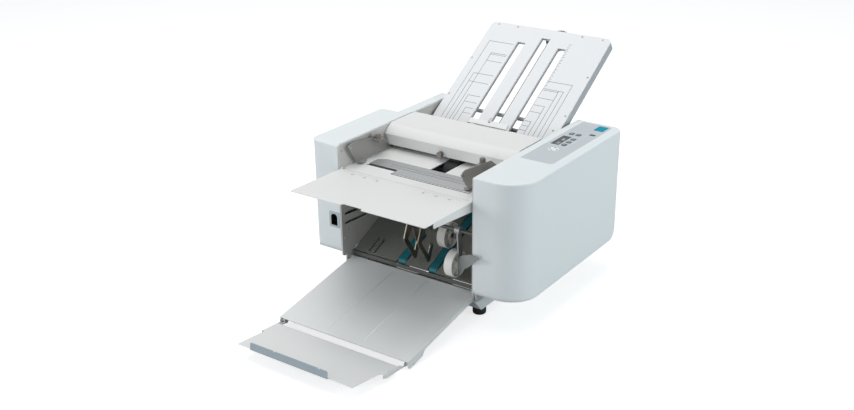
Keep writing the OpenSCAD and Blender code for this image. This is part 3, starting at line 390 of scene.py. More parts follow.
def add_piece(bm: bmesh.types.BMesh, name: str, finish: Finish, body: str,
              smooth_over: float) -> bpy.types.Object:
    """Turns a bmesh with its normals in order into a piece of the machine.

    Args:
        bm: Mesh in model metres; freed here.
        name: Piece name.
        finish: Its finish.
        body: CAD body it rides on.
        smooth_over: Angle in degrees above which an edge stays sharp.

    Returns:
        The new object.
    """
    shade(bm, smooth_over)
    mesh = settle(bm, name)
    mesh.materials.append(material(finish))
    piece = link(name, mesh)
    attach(piece, body)
    log.info("piece %s on %s: %d faces, %s", name, body, len(mesh.polygons), finish.name)
    return piece


def publish(bm: bmesh.types.BMesh, name: str, finish: Finish, body: str,
            smooth_over: float = 35.0) -> bpy.types.Object:
    """Turns the normals of a new bmesh outwards and adds it; takes what add_piece does."""
    bmesh.ops.recalc_face_normals(bm, faces=bm.faces)
    return add_piece(bm, name, finish, body, smooth_over)


def shade(bm: bmesh.types.BMesh, smooth_over: float) -> None:
    """Smooths faces and keeps edges sharp above an angle in degrees."""
    limit = math.radians(smooth_over)
    for face in bm.faces:
        face.smooth = True
    for edge in bm.edges:
        edge.smooth = len(edge.link_faces) == 2 and edge.calc_face_angle(0.0) < limit


def even_shading(piece: bpy.types.Object) -> None:
    """Keeps flat faces flat in shading beside narrow rounded ones."""
    even = piece.modifiers.new("even_shading", "WEIGHTED_NORMAL")
    even.mode = "FACE_AREA"
    even.keep_sharp = True


def stand_in(node: str, finish: Finish) -> None:
    """Hides a CAD node that a scene piece stands in for, and gives the node the finish too."""
    source = frame["nodes"][node]
    source.data.materials.clear()
    source.data.materials.append(material(finish))
    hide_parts(node)


def node_body(node: str) -> str:
    """Name of the CAD body that carries a node."""
    return frame["nodes"][node]["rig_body"]


def finish_node(node: str, finish: Finish, edge: Edge = Edge.SHEET, segments: int = 2,
                smooth_over: float = 32.0,
                reshape: Optional[Callable[[bmesh.types.BMesh], None]] = None) -> bpy.types.Object:
    """Gives a CAD node its finish, on a merged copy with smooth curves and broken edges.

    Args:
        node: CAD node name.
        finish: Finish of the whole piece.
        edge: How far its edges are broken.
        segments: Segments of a broken edge.
        smooth_over: Angle in degrees above which an edge stays sharp.
        reshape: Change to the merged copy, in model metres.

    Returns:
        The finished copy.
    """
    bm = bmesh.new()
    bm.from_mesh(frame["nodes"][node].data)
    bmesh.ops.remove_doubles(bm, verts=bm.verts, dist=2e-6)
    bmesh.ops.dissolve_limit(bm, angle_limit=math.radians(0.5), verts=bm.verts, edges=bm.edges,
                             delimit={"NORMAL"})
    if reshape:
        reshape(bm)
    piece = add_piece(bm, f"{node}_finished", finish, node_body(node), smooth_over)
    if edge is not Edge.NONE:
        bevel = piece.modifiers.new("broken_edges", "BEVEL")
        bevel.width = edge.value * MM
        bevel.segments = segments
        bevel.limit_method = "ANGLE"
        bevel.angle_limit = math.radians(40)
        bevel.use_clamp_overlap = True
        even_shading(piece)
    stand_in(node, finish)
    return piece


def finish_nodes(finish: Finish, *nodes: str, edge: Edge = Edge.SHEET) -> None:
    """Gives several CAD nodes one finish."""
    for node in nodes:
        finish_node(node, finish, edge)


def trim(bm: bmesh.types.BMesh, place: Matrix, at: Point, away: Point) -> None:
    """Cuts off all that lies beyond a plane and closes the cut.

    Args:
        bm: Mesh to cut.
        place: Millimetres of the plane's point and direction to the mesh's units.
        at: A point of the plane.
        away: Direction in which everything goes.
    """
    bmesh.ops.bisect_plane(bm, geom=bm.verts[:] + bm.edges[:] + bm.faces[:], dist=1e-7,
                           plane_co=place @ Vector(at),
                           plane_no=(place.to_3x3() @ Vector(away)).normalized(),
                           clear_outer=True)
    bmesh.ops.holes_fill(bm, edges=[edge for edge in bm.edges if edge.is_boundary])


def second_finish(piece: bpy.types.Object, finish: Finish, place: Matrix, box: Box) -> None:
    """Gives the faces inside a box another finish, as on a piece made of two materials.

    Args:
        piece: Finished piece.
        finish: Finish of the faces whose middle lies in the box.
        place: Box's millimetres to model metres.
        box: Its lowest and its highest corner.
    """
    piece.data.materials.append(material(finish))
    back = place.inverted()
    for face in piece.data.polygons:
        if all(a <= c <= b for a, c, b in zip(box[0], back @ face.center, box[1])):
            face.material_index = 1


def lathe(outline: Sequence[tuple[float, float]], steps: int) -> bmesh.types.BMesh:
    """Turns an outline about Z.

    Args:
        outline: Radius and height of each point, in millimetres.
        steps: Facets round the axis.

    Returns:
        A fresh mesh in millimetres.
    """
    bm = bmesh.new()
    verts = [bm.verts.new((x, 0.0, z)) for x, z in outline]
    edges = [bm.edges.new(pair) for pair in zip(verts, verts[1:])]
    bmesh.ops.spin(bm, geom=verts + edges, cent=(0, 0, 0), axis=(0, 0, 1),
                   angle=2 * math.pi, steps=steps, use_merge=True)
    bmesh.ops.remove_doubles(bm, verts=bm.verts, dist=1e-4)
    bmesh.ops.recalc_face_normals(bm, faces=bm.faces)
    return bm


def join(bm: bmesh.types.BMesh, part: bmesh.types.BMesh, place: Matrix) -> None:
    """Copies a part into a mesh, by the matrix from its units to the mesh's, and frees it."""
    bmesh.ops.transform(part, matrix=place, verts=part.verts)
    carrier = settle(part, "carrier")
    bm.from_mesh(carrier)
    bpy.data.meshes.remove(carrier)


@dataclass
class Screw:
    """Pan-head screw with a cross recess."""

    radius: float = 3.2
    height: float = 1.8

    def add_to(self, bm: bmesh.types.BMesh, place: Matrix) -> None:
        """Adds the head in model metres, standing on the plane z = 0 of its place."""
        outline = [(0.0, self.height), (self.radius * 0.45, self.height * 0.97),
                   (self.radius * 0.8, self.height * 0.75), (self.radius, self.height * 0.25),
                   (self.radius, 0.0)]
        join(bm, lathe(outline, 18), place)

    def recess_shade_to(self, bm: bmesh.types.BMesh, place: Matrix) -> None:
        """Adds painted shade for the recess: a dark cross lying in the head's top."""
        for size in ((self.radius * 1.1, 0.8), (0.8, self.radius * 1.1)):
            lie = moved(0, 0, self.height * 0.92) @ Matrix.Diagonal((*size, 0.3, 1))
            bmesh.ops.create_cube(bm, size=1.0, matrix=place @ lie)


def screws(name: str, places: Iterable[Matrix], body: str, finish: Finish = ZINC,
           head: Screw = Screw()) -> None:
    """Makes a set of equal screws as one piece, and painted shade for their cross recesses as
    another.

    Args:
        name: Name of the set.
        places: Where each head stands.
        body: CAD body they ride on.
        finish: Finish of the heads.
        head: Size of the heads.
    """
    heads, recess_shades = bmesh.new(), bmesh.new()
    for place in places:
        head.add_to(heads, place)
        head.recess_shade_to(recess_shades, place)
    publish(heads, f"{name}_heads", finish, body)
    # The cross recesses are painted shade: dark crosses set into the heads
    publish(recess_shades, f"{name}_recesses", BLACK_ABS_AND_SHADE, body)


def strip(bm: bmesh.types.BMesh, place: Matrix, a: Sequence[float], b: Sequence[float],
          width: float, height: float = 0.12) -> None:
    """Adds a thin printed line between two points of a plane.

    Args:
        bm: Mesh that receives it.
        place: Millimetres on the plane to model metres.
        a: First end.
        b: Second end.
        width: Line width in millimetres.
        height: How far the ink stands up, in millimetres.
    """
    start, end = Vector((a[0], a[1])), Vector((b[0], b[1]))
    span = end - start
    turn = math.atan2(span.y, span.x)
    middle = (start + end) / 2
    lie = (moved(middle.x, middle.y, height / 2) @ Matrix.Rotation(turn, 4, "Z")
           @ Matrix.Diagonal((span.length + width, width, height, 1)))
    bmesh.ops.create_cube(bm, size=1.0, matrix=place @ lie)


def print_lines(name: str, lines: Iterable[tuple], place: Matrix, body: str,
                finish: Finish) -> None:
    """Makes printed lines on a plane as one piece.

    Args:
        name: Piece name.
        lines: Of each line its two ends, its width and, where it stands up more, its height.
        place: Millimetres on the plane to model metres.
        body: CAD body they ride on.
        finish: Ink.
    """
    bm = bmesh.new()
    for line in lines:
        strip(bm, place, *line)
    publish(bm, name, finish, body)


def closed(corners: Sequence[tuple], width: float) -> list[tuple]:
    """Lines from corner to corner and back to the first, for print_lines."""
    return [(a, b, width) for a, b in zip(corners, (*corners[1:], corners[0]))]


def numeral(text: str, size: float, place: Matrix, name: str, body: str,
            finish: Finish) -> None:
    """A plain number lying on a plane, as a mesh piece.

    Args:
        text: Digits.
        size: Height in millimetres.
        place: Millimetres at its lower left corner to model metres.
        name: Piece name.
        body: CAD body it rides on.
        finish: Ink.
    """
    curve = bpy.data.curves.new(name, "FONT")
    curve.body = text
    curve.size = size
    curve.extrude = INK_DEPTH
    curve.resolution_u = 2
    holder = link(f"{name}_outline", curve)
    graph = bpy.context.evaluated_depsgraph_get()
    mesh = bpy.data.meshes.new_from_object(holder.evaluated_get(graph))
    bpy.data.objects.remove(holder)
    bpy.data.curves.remove(curve)
    bm = bmesh.new()
    bm.from_mesh(mesh)
    bpy.data.meshes.remove(mesh)
    bmesh.ops.remove_doubles(bm, verts=bm.verts, dist=1e-4)
    bmesh.ops.transform(bm, matrix=place @ moved(0, 0, INK_DEPTH), verts=bm.verts)
    publish(bm, name, finish, body)


def rounded_prism(low: Point, high: Point, radii: Sequence[float],
                  segments: int = 8) -> bmesh.types.BMesh:
    """Upright block with its four upright edges rounded.

    Args:
        low: Lowest corner in millimetres.
        high: Highest corner.
        radii: Radius of the front left, front right, rear right and rear left edge.
        segments: Segments of each rounding.

    Returns:
        A fresh mesh in millimetres.
    """
    bm = bmesh.new()
    size = [b - a for a, b in zip(low, high)]
    middle = [(a + b) / 2 for a, b in zip(low, high)]
    bmesh.ops.create_cube(bm, size=1.0,
                          matrix=Matrix.Translation(middle) @ Matrix.Diagonal((*size, 1.0)))
    corners = ((low[0], low[1]), (high[0], low[1]), (high[0], high[1]), (low[0], high[1]))
    for (x, y), radius in zip(corners, radii):
        edges = [edge for edge in bm.edges
                 if all(abs(v.co.x - x) < 1e-3 and abs(v.co.y - y) < 1e-3 for v in edge.verts)]
        bmesh.ops.bevel(bm, geom=edges, offset=radius, segments=segments, profile=0.5,
                        affect="EDGES")
    return bm


def carve(parts: Sequence[bmesh.types.BMesh]) -> bmesh.types.BMesh:
    """Cuts every further part out of the first.

    Args:
        parts: The body and what is cut out of it, in the same units; freed here.

    Returns:
        The carved body.
    """
    holders = []
    for part in parts:
        bmesh.ops.recalc_face_normals(part, faces=part.faces)
        holders.append(link("carving", settle(part, "carving")))
    for tool in holders[1:]:
        cut = holders[0].modifiers.new("cut", "BOOLEAN")
        cut.operation, cut.solver, cut.object = "DIFFERENCE", "EXACT", tool
    graph = bpy.context.evaluated_depsgraph_get()
    result = bpy.data.meshes.new_from_object(holders[0].evaluated_get(graph))
    carved = bmesh.new()
    carved.from_mesh(result)
    bpy.data.meshes.remove(result)
    for holder in holders:
        mesh = holder.data
        bpy.data.objects.remove(holder)
        bpy.data.meshes.remove(mesh)
    return carved


@dataclass
class RolledShell:
    """Cover whose plan outline draws in towards its top and bottom in smooth rolls.

    The inner side, at low x, stays flat where it seats on the frame plate.
    """

    low: Point = (170.0, 0.0, 72.0)
    high: Point = (281.0, 431.0, 330.0)
    front_radius: float = 65.0
    rear_radius: float = 22.0
    front_roll: float = 15.0
    side_roll: float = 6.0
    rear_roll: float = 27.0
    top_roll: float = 4.0
    front_steps: int = 24
    rear_steps: int = 8
    roll_steps: int = 12
    top_steps: int = 6

    def shrunk(self, wall: float) -> "RolledShell":
        """The same form a wall's thickness further in, open past the inner side."""
        return RolledShell((self.low[0] - 1, self.low[1] + wall, self.low[2] + wall),
                           tuple(c - wall for c in self.high), self.front_radius - wall,
                           self.rear_radius - wall, self.front_roll - wall,
                           self.side_roll - wall, self.rear_roll - wall, self.top_roll - wall)

    def outline(self) -> list[tuple[float, float]]:
        """Plan outline from the inner front corner round to the inner rear one."""
        width, depth, _ = (b - a for a, b in zip(self.low, self.high))
        points = [(0.0, 0.0)]
        for radius, y, start, steps in (
                (self.front_radius, self.front_radius, -90, self.front_steps),
                (self.rear_radius, depth - self.rear_radius, 0, self.rear_steps)):
            for i in range(steps + 1):
                turn = math.radians(start + 90 * i / steps)
                points.append((width - radius + radius * math.cos(turn),
                               y + radius * math.sin(turn)))
        points.append((0.0, depth))
        return points

    def rows(self) -> list[tuple[float, float, float, float]]:
        """Height of each ring, and how far its front, side and rear draw in there."""
        height = self.high[2] - self.low[2]
        rolls = (self.front_roll, self.side_roll, self.rear_roll)
        rows = []
        for i in range(self.roll_steps + 1):
            z = max(rolls) * (1 - math.cos(math.radians(90 * i / self.roll_steps)))
            rows.append((z, *(r - math.sqrt(r * r - (r - z) ** 2) if z < r else 0.0
                              for r in rolls)))
        for i in range(self.top_steps + 1):
            turn = math.radians(90 * i / self.top_steps)
            inset = self.top_roll * (1 - math.cos(turn))
            rows.append((height - self.top_roll * (1 - math.sin(turn)), inset, inset, inset))
        return rows

    def mesh(self) -> bmesh.types.BMesh:
        """Closed mesh in millimetres: the outline drawn up through its rings."""
        width, depth, _ = (b - a for a, b in zip(self.low, self.high))
        outline = self.outline()
        bm = bmesh.new()
        index = bm.verts.layers.int.new("outline_point")
        ring = [bm.verts.new((x, y, 0.0)) for x, y in outline]
        for i, vert in enumerate(ring):
            vert[index] = i
        edges = [bm.edges.new(pair) for pair in zip(ring, ring[1:] + ring[:1])]
        bmesh.ops.contextual_create(bm, geom=edges)
        for level, (z, front, side, rear) in enumerate(self.rows()):
            if level:
                grown = bmesh.ops.extrude_edge_only(bm, edges=edges)["geom"]
                ring = [item for item in grown if isinstance(item, bmesh.types.BMVert)]
                edges = [item for item in grown
                         if isinstance(item, bmesh.types.BMEdge) and item.is_boundary]
            for vert in ring:
                x, y = outline[vert[index]]
                vert.co = (self.low[0] + x * (width - side) / width,
                           self.low[1] + front + y * (depth - front - rear) / depth,
                           self.low[2] + z)
        bmesh.ops.contextual_create(bm, geom=edges)
        return bm


# ---- the machine's sub-assemblies ----


@dataclass
class Casework:
    """Housings, base, frame plates, bars, feet and the rear panel."""

    rear: float = 425.0
    wall: float = 3.0
    recess: Box = ((186.98, 146.98, TOP_Z - 1.6), (261.02, 420.02, TOP_Z + 2))
    recess_radii: tuple = (3, 10, 12, 3)
    white_bar: Box = ((-170, -60, -40), (170, 10, -8))
    bezel: Box = ((-210, -2, 130), (-160, -0.6, 180))
    plate_screws: tuple = ((12, 112), (21, 130))
    rear_screw_x: float = 155.0
    rear_screw_z: tuple = (92, 232)

    def build(self) -> None:
        """Finishes the casework and adds its screws."""
        finish_node("left_housing", WHITE_COAT, Edge.FOLDED, 3, 40)
        self.right_shell()
        finish_nodes(WHITE_COAT, "base_frame", "rear_panel")
        finish_node("feet", RUBBER, Edge.NONE)
        # The frame plates' light grey is partly a painted reflection of the white tray and floor
        finish_nodes(FRAME_SHEET, "left_frame_plate", "right_frame_plate")
        bars = finish_node("cross_bars", PHOSPHATE, Edge.NONE)
        second_finish(bars, WHITE_COAT, FoldPlates().place, self.white_bar)
        finish_node("shaft_bushes", POLYAMIDE, Edge.NONE)
        inlet = finish_node("power_inlet", BLACK_ABS_AND_SHADE, Edge.NONE)
        second_finish(inlet, GREY_ABS, MACHINE, self.bezel)
        self.fasteners()

    def right_shell(self) -> None:
        """Right housing with its rolled edges, cut out for its hollow and for the panel."""
        shell = RolledShell()
        bm = carve([shell.mesh(), shell.shrunk(self.wall).mesh(),
                    rounded_prism(*self.recess, self.recess_radii)])
        bmesh.ops.transform(bm, matrix=MACHINE, verts=bm.verts)
        piece = publish(bm, "right_housing_finished", WHITE_COAT, node_body("right_housing"), 40)
        even_shading(piece)
        stand_in("right_housing", WHITE_COAT)

    def fasteners(self) -> None:
        """Screws in the frame plates and the rear panel."""
        places = [MACHINE @ moved(side * INNER, y, z) @ turned("Y", -90 * side)
                  for side in (-1, 1) for y, z in self.plate_screws]
        screws("frame_plate_screws", places, "frame", ZINC, Screw(2.6, 1.4))
        places = [MACHINE @ moved(side * self.rear_screw_x, self.rear, z) @ turned("X", -90)
                  for side in (-1, 1) for z in self.rear_screw_z]
        screws("rear_panel_screws", places, "frame", ZINC)


@dataclass
class FeedSection:
    """Feed shelf, table, steel plate, guides, separator and the cover over them."""

    shelf_hinge: Point = (0, 6, 276)
    shelf_tilt: float = -1.2
    shelf_top: float = 0.8
    marks: int = 15
    mark_start: float = 58.0
    mark_pitch: float = 6.4
    mark_v: float = -9.0
    numbers: tuple = ("148", "210", "297")
    number_v: float = -20.5
    rod_half: float = 161.5
    rod_at: tuple = (7.6, 273.2)
    knuckles: int = 11
    table_z: float = 275.0
    # Painted shadow of the steel plate's front edge and step: ends, width and height of each strip
    edge_shadow_strips: tuple = (((-59, 39.6), (134, 39.6), 1.5, 0.5), ((-137, 57), (-61, 57), 1.5, 0.5),
                          ((-61, 40), (-61, 57), 1.2, 0.4))
    ribs: tuple = (59.2, 60.6, 62.0, 63.4)
    guides: tuple = (("left_guide", -156.5, 90), ("right_guide", 126.5, -90))
    rivet: tuple = (29, 315)

    @property
    def shelf(self) -> Matrix:
        """Frame of the shelf at rest."""
        return plane_matrix(self.shelf_hinge, self.shelf_tilt)

    def build(self) -> None:
        """Finishes the feed section and prints the shelf's scale."""
        finish_node("feed_table", WARM_COAT)
        finish_node("feed_plate", BRUSHED_CROSS)
        finish_node("separator_pad", RUBBER)
        finish_node("top_cover", WARM_COAT, smooth_over=25)
        finish_node("feed_shelf", WARM_COAT, reshape=self.taper_flanges)
        finish_nodes(BRUSHED_SIDE, "left_side_guide", "right_side_guide")
        finish_nodes(NICKEL, "left_guide_knob", "right_guide_knob", "cover_knob")
        self.shelf_scale()
        self.rivets()
        self.hinge_rod()
        self.table_edges()

    def taper_flanges(self, bm: bmesh.types.BMesh) -> None:
        """Trims the shelf's side flanges to their taper, shallower towards the front."""
        trim(bm, self.shelf, (0, -1.5, -20.5), (0, -0.07, -1))

    def shelf_scale(self) -> None:
        """Short marks and plain numbers near the shelf's rear corners; every fifth is long."""
        place = self.shelf @ moved(0, 0, self.shelf_top)
        lines = []
        for side in (-1, 1):
            for i in range(self.marks):
                u = side * (self.mark_start + self.mark_pitch * i)
                end = self.mark_v - (6.0 if i % 5 == 0 else 3.2)
                lines.append(((u, self.mark_v), (u, end), 0.5))
        print_lines("shelf_scale_marks", lines, place, "feed_shelf", BLACK_INK_AND_SHADE)
        for side, word in ((-1, "left"), (1, "right")):
            for i, text in enumerate(self.numbers):
                u = side * (self.mark_start + 5 * self.mark_pitch * i) - 3.5
                numeral(text, 4.6, place @ moved(u, self.number_v),
                        f"shelf_number_{text}_{word}", "feed_shelf", BLACK_INK_AND_SHADE)

    def hinge_rod(self) -> None:
        """Dark hinge rod with knuckles in the gap between shelf and table."""
        thin, thick, gap = 1.2, 1.6, 1.5
        outline = [(0.0, -self.rod_half)]
        pitch = 2 * self.rod_half / self.knuckles
        for i in range(self.knuckles):
            start = pitch * i - self.rod_half
            outline += [(thin, start), (thin, start + gap), (thick, start + gap),
                        (thick, start + pitch - gap), (thin, start + pitch - gap),
                        (thin, start + pitch - 0.01)]
        outline.append((0.0, self.rod_half))
        bm = bmesh.new()
        join(bm, lathe(outline, 14), MACHINE @ (moved(0, *self.rod_at) @ turned("Y", 90)))
        publish(bm, "shelf_hinge_rod", PHOSPHATE, "frame")

    def table_edges(self) -> None:
        """Painted shadow: a dark strip along the steel plate's front edge and its step, and the
        ribbed pad beside it.
        """
        place = MACHINE @ moved(0, 0, self.table_z)
        # The dark strip is the steel plate's edge shadow, painted on the table
        print_lines("table_edge_painted_shadow", self.edge_shadow_strips, place, "frame", BLACK_INK_AND_SHADE)
        ribs = [((-135, y), (-62, y), 0.5, 0.5) for y in self.ribs]
        print_lines("table_rib_lines", ribs, place, "frame", INK)

    def rivets(self) -> None:
        """Rivet heads in the guides' upper corners."""
        for body, x, degrees in self.guides:
            place = MACHINE @ moved(x, *self.rivet) @ turned("Y", degrees)
            screws(f"{body}_rivet", [place], body, ZINC, Screw(2.8, 1.2))


@dataclass
class FoldPlates:
    """Upper folding plate with its printed guide, stop and skew knob, and the lower plate."""

    tilt: float = 32.9
    origin: Point = (0.0, 398.0, TOP_Z + 15)
    line: float = 0.85
    stop_end: float = 38.5
    stop_nut: Box = ((-20, -75, 3.45), (0, -50, 12))
    outer_rail: Box = ((157, -130, -60), (175, 260, -2))
    knob: tuple = (13.0, 234.5)
    knob_growth: float = 1.4
    knob_hub: float = 8.0
    left_lines: tuple = ((-138, 176), (-126, 71), (-114, 139.5), (-105, 4), (-92, -32))
    left_rungs: tuple = ((-138, 175.5), (-114, 139.5), (-114, 135), (-114, 114), (-126, 71),
                         (-126, 44.5), (-105, 4), (-105, -16), (-92, -32.5), (-92, -48))
    # Painted shade along the slot edges: u, lowest and highest v, and width of each line
    slot_shade_lines: tuple = ((-64.2, -76, 186, 0.6), (-9.7, -56, 209, 0.6), (11.9, -56, 209, 1.3),
                         (44.3, -76, 186, 0.6), (65.9, -76, 60, 0.6))
    right_lines: tuple = ((131, 86), (119, 62), (107, 60), (95, 12), (84, -36))
    right_rungs: tuple = ((131, 85), (119, 62), (107, 58), (107, 34), (95, 12), (95, -8),
                          (84, -36), (84, -50), (84, -63))
    screw_spots: tuple = ((-140, 231), (-87, 231), (87, 231), (140, 231), (-155, 115),
                          (155, 115), (-155, -3), (155, -3), (146, -48))

    @property
    def place(self) -> Matrix:
        """Frame of the upper folding plate at rest."""
        return plane_matrix(self.origin, self.tilt)

    def build(self) -> None:
        """Finishes the plates, prints the guide and adds the screws."""
        finish_node("fold_plate_front", PRINT_SHEET)
        back = finish_node("fold_plate_back", PRINT_SHEET)
        second_finish(back, RAIL_SHEET, self.place, self.outer_rail)
        stop = finish_node("fold_stop", WHITE_ABS, reshape=self.shorten_stop)
        second_finish(stop, NICKEL, self.place, self.stop_nut)
        finish_node("skew_knob", DARK_ABS, Edge.MOULDED, reshape=self.widen_knob)
        finish_node("lower_fold_plate", ZINC)
        finish_node("lower_fold_stop", POLYAMIDE)
        self.guide_print()
        self.slot_lines()
        self.ruler()
        self.plate_screws()

    def shorten_stop(self, bm: bmesh.types.BMesh) -> None:
        """Ends the stop's bar between the middle and the right slot."""
        trim(bm, self.place, (self.stop_end, 0, 0), (1, 0, 0))

    def widen_knob(self, bm: bmesh.types.BMesh) -> None:
        """Widens the skew knob about its own axis, so that its rim shows over the plate."""
        place = self.place @ moved(*self.knob)
        grow = Matrix.Diagonal((self.knob_growth, self.knob_growth, 1.0, 1.0))
        back = place.inverted()
        rim = [vert for vert in bm.verts if (back @ vert.co).xy.length > self.knob_hub]
        bmesh.ops.transform(bm, matrix=place @ grow @ back, verts=rim)

    def guide_print(self) -> None:
        """Lines that lead from each paper size to the stop's place for it."""
        lines = [((u, -122), (u, top), self.line) for u, top in self.left_lines + self.right_lines]
        lines += [((u, v), (-72, v), self.line) for u, v in self.left_rungs]
        lines += [((u, v), (68, v), self.line) for u, v in self.right_rungs]
        print_lines("fold_plate_guide_lines", lines, self.place, "fold_plate", INK)

    def slot_lines(self) -> None:
        """Dark lines along the slots' edges: painted shade where the slot walls lie in shade, with
        a wider line along the middle slot's right edge.
        """
        lines = [((u, low), (u, high), width) for u, low, high, width in self.slot_shade_lines]
        print_lines("fold_plate_slot_painted_shade", lines, self.place, "fold_plate", BLACK_INK_AND_SHADE)

    def ruler(self) -> None:
        """Ruler along the right slot: a mark each 5 mm, every other one long."""
        lines = [((66.5, v), (72.5 if v % 10 == 2 else 69.5, v), 0.8) for v in range(62, 207, 5)]
        print_lines("fold_plate_ruler", lines, self.place, "fold_plate", INK)

    def plate_screws(self) -> None:
        """Small screws round the plate's rim."""
        screws("fold_plate_screws", [self.place @ moved(*spot) for spot in self.screw_spots],
               "fold_plate", ZINC, Screw(2.6, 1.2))


@dataclass
class RollerTrain:
    """Fold rollers, gears, feed roller, belts and motor."""

    def build(self) -> None:
        """Finishes the rollers and the drive."""
        finish_nodes(RUBBER, "feed_roller", "upper_fold_roller", "main_fold_roller",
                     "rear_fold_roller", "lower_fold_roller")
        finish_nodes(POLYAMIDE, "upper_gear", "main_gear", "rear_gear", "lower_gear",
                     edge=Edge.NONE)
        finish_nodes(ZINC, "motor_pulley", "front_belt_roller", "rear_belt_roller")
        finish_node("drive_motor", MOTOR_PAINT)
        finish_node("drive_belts", RUBBER, Edge.NONE)
        finish_node("power_supply", BOARD, Edge.NONE)


@dataclass
class Delivery:
    """Ramp, conveyor belts, stacker and the delivery tray with its flap."""

    flap_origin: Point = (0.0, -205.828, 12.069)
    flap_tilt: float = -6.6
    flap_lip: Box = ((-120, -162, 0), (120, -151.2, 20))
    clamp_z: float = 178.0
    link_x: float = 27.3
    band_growth: float = 0.9

    def build(self) -> None:
        """Finishes the delivery side."""
        finish_node("ramp_floor", RAMP_STEEL)
        finish_node("front_cross_strip", PHOSPHATE)
        finish_node("conveyor_belts", BELT)
        finish_node("stacker_bows", BOW_STEEL, Edge.NONE, reshape=self.widen_bows)
        finish_nodes(POLYAMIDE, "left_stacker_wheel", "right_stacker_wheel")
        finish_node("stacker_lever", BRUSHED_CROSS)
        finish_node("delivery_tray", SATIN_TRAY)
        flap = finish_node("tray_flap", SATIN_FLAP)
        # The flap's front lip gets a painted shade, bluish grey
        second_finish(flap, LIP_SHADE, plane_matrix(self.flap_origin, self.flap_tilt),
                      self.flap_lip)

    def widen_bows(self, bm: bmesh.types.BMesh) -> None:
        """Widens the bows' bands in their own plane, below their clamp."""
        bm.normal_update()
        for vert in bm.verts:
            if vert.co.z < self.clamp_z * MM and vert.co.x < seat(self.link_x, 0, 0).x:
                flat = Vector((0.0, vert.normal.y, vert.normal.z))
                if flat.length > 0.3:
                    vert.co += flat.normalized() * self.band_growth * MM


class Symbol(Enum):
    """Plain signs printed on the small keys."""

    PLUS = "plus"
    MINUS = "minus"
    BAR = "bar"
    SHEET = "sheet"


@dataclass
class Controls:
    """Panel on the right housing with its display and keys."""

    rise: float = 0.6
    pad: tuple = (219.0, 228.0)
    pad_reach: float = 8.2
    keys: tuple = (("key_1", 225, 263, Symbol.BAR), ("key_2", 225, 283, Symbol.SHEET),
                   ("key_3", 225, 303, Symbol.SHEET), ("key_4", 205, 334, Symbol.PLUS),
                   ("key_5", 221, 334, Symbol.MINUS))
    key_field: tuple = ((192, 252), (236, 252), (236, 352), (192, 352))
    sheet_sign: tuple = ((-2.0, -2.6), (2.0, -2.6), (2.0, 2.6), (-2.0, 2.6))
    digits_at: tuple = (210.5, 262)
    digit_size: float = 9.0
    digit_rows: float = 24.0

    def build(self) -> None:
        """Finishes the panel and prints its symbols."""
        finish_node("control_panel", MEMBRANE, Edge.NONE)
        finish_node("display_window", WINDOW, Edge.NONE)
        finish_node("start_key", START_FILM)
        finish_node("stop_key", KEY_FILM)
        finish_node("program_pad", WHITE_COAT)
        finish_nodes(KEY_FILM, *(row[0] for row in self.keys))
        self.pad_arrows()
        self.key_signs()
        self.display_digits()
        self.key_borders()

    def pad_arrows(self) -> None:
        """Four arrows on the round pad, pointing outwards."""
        bm = bmesh.new()
        for i in range(4):
            lie = (moved(*self.pad, TOP_Z + self.rise + 0.05) @ turned("Z", 90 * i)
                   @ moved(self.pad_reach, 0) @ Matrix.Diagonal((1.0, 1.3, 1, 1)))
            bmesh.ops.create_cone(bm, segments=3, radius1=2.3, radius2=2.3, depth=0.1,
                                  cap_ends=True, matrix=MACHINE @ lie @ turned("Z", -90))
        publish(bm, "pad_arrows", BLACK_INK_AND_SHADE, "program_pad")

    def key_signs(self) -> None:
        """One plain sign on each small key."""
        across, upright = ((-2.4, 0), (2.4, 0), 0.9), ((0, -2.4), (0, 2.4), 0.9)
        signs = {Symbol.PLUS: [across, upright], Symbol.MINUS: [across], Symbol.BAR: [across],
                 Symbol.SHEET: closed(self.sheet_sign, 0.7)}
        for body, x, y, sign in self.keys:
            print_lines(f"{body}_sign", signs[sign], MACHINE @ moved(x, y, TOP_Z + self.rise),
                        body, WHITE_INK)

    def display_digits(self) -> None:
        """Plain digits behind the display's window."""
        place = MACHINE @ moved(*self.digits_at, TOP_Z - 0.2) @ turned("Z", 90)
        for row, (text, word) in enumerate((("210", "upper"), ("297", "lower"))):
            numeral(text, self.digit_size, place @ moved(self.digit_rows * row, 0),
                    f"display_digits_{word}", "frame", WHITE_INK)

    def key_borders(self) -> None:
        """Fine printed border round the keys' field."""
        print_lines("key_field_border", closed(self.key_field, 0.5),
                    MACHINE @ moved(0, 0, TOP_Z), "frame", WHITE_INK)


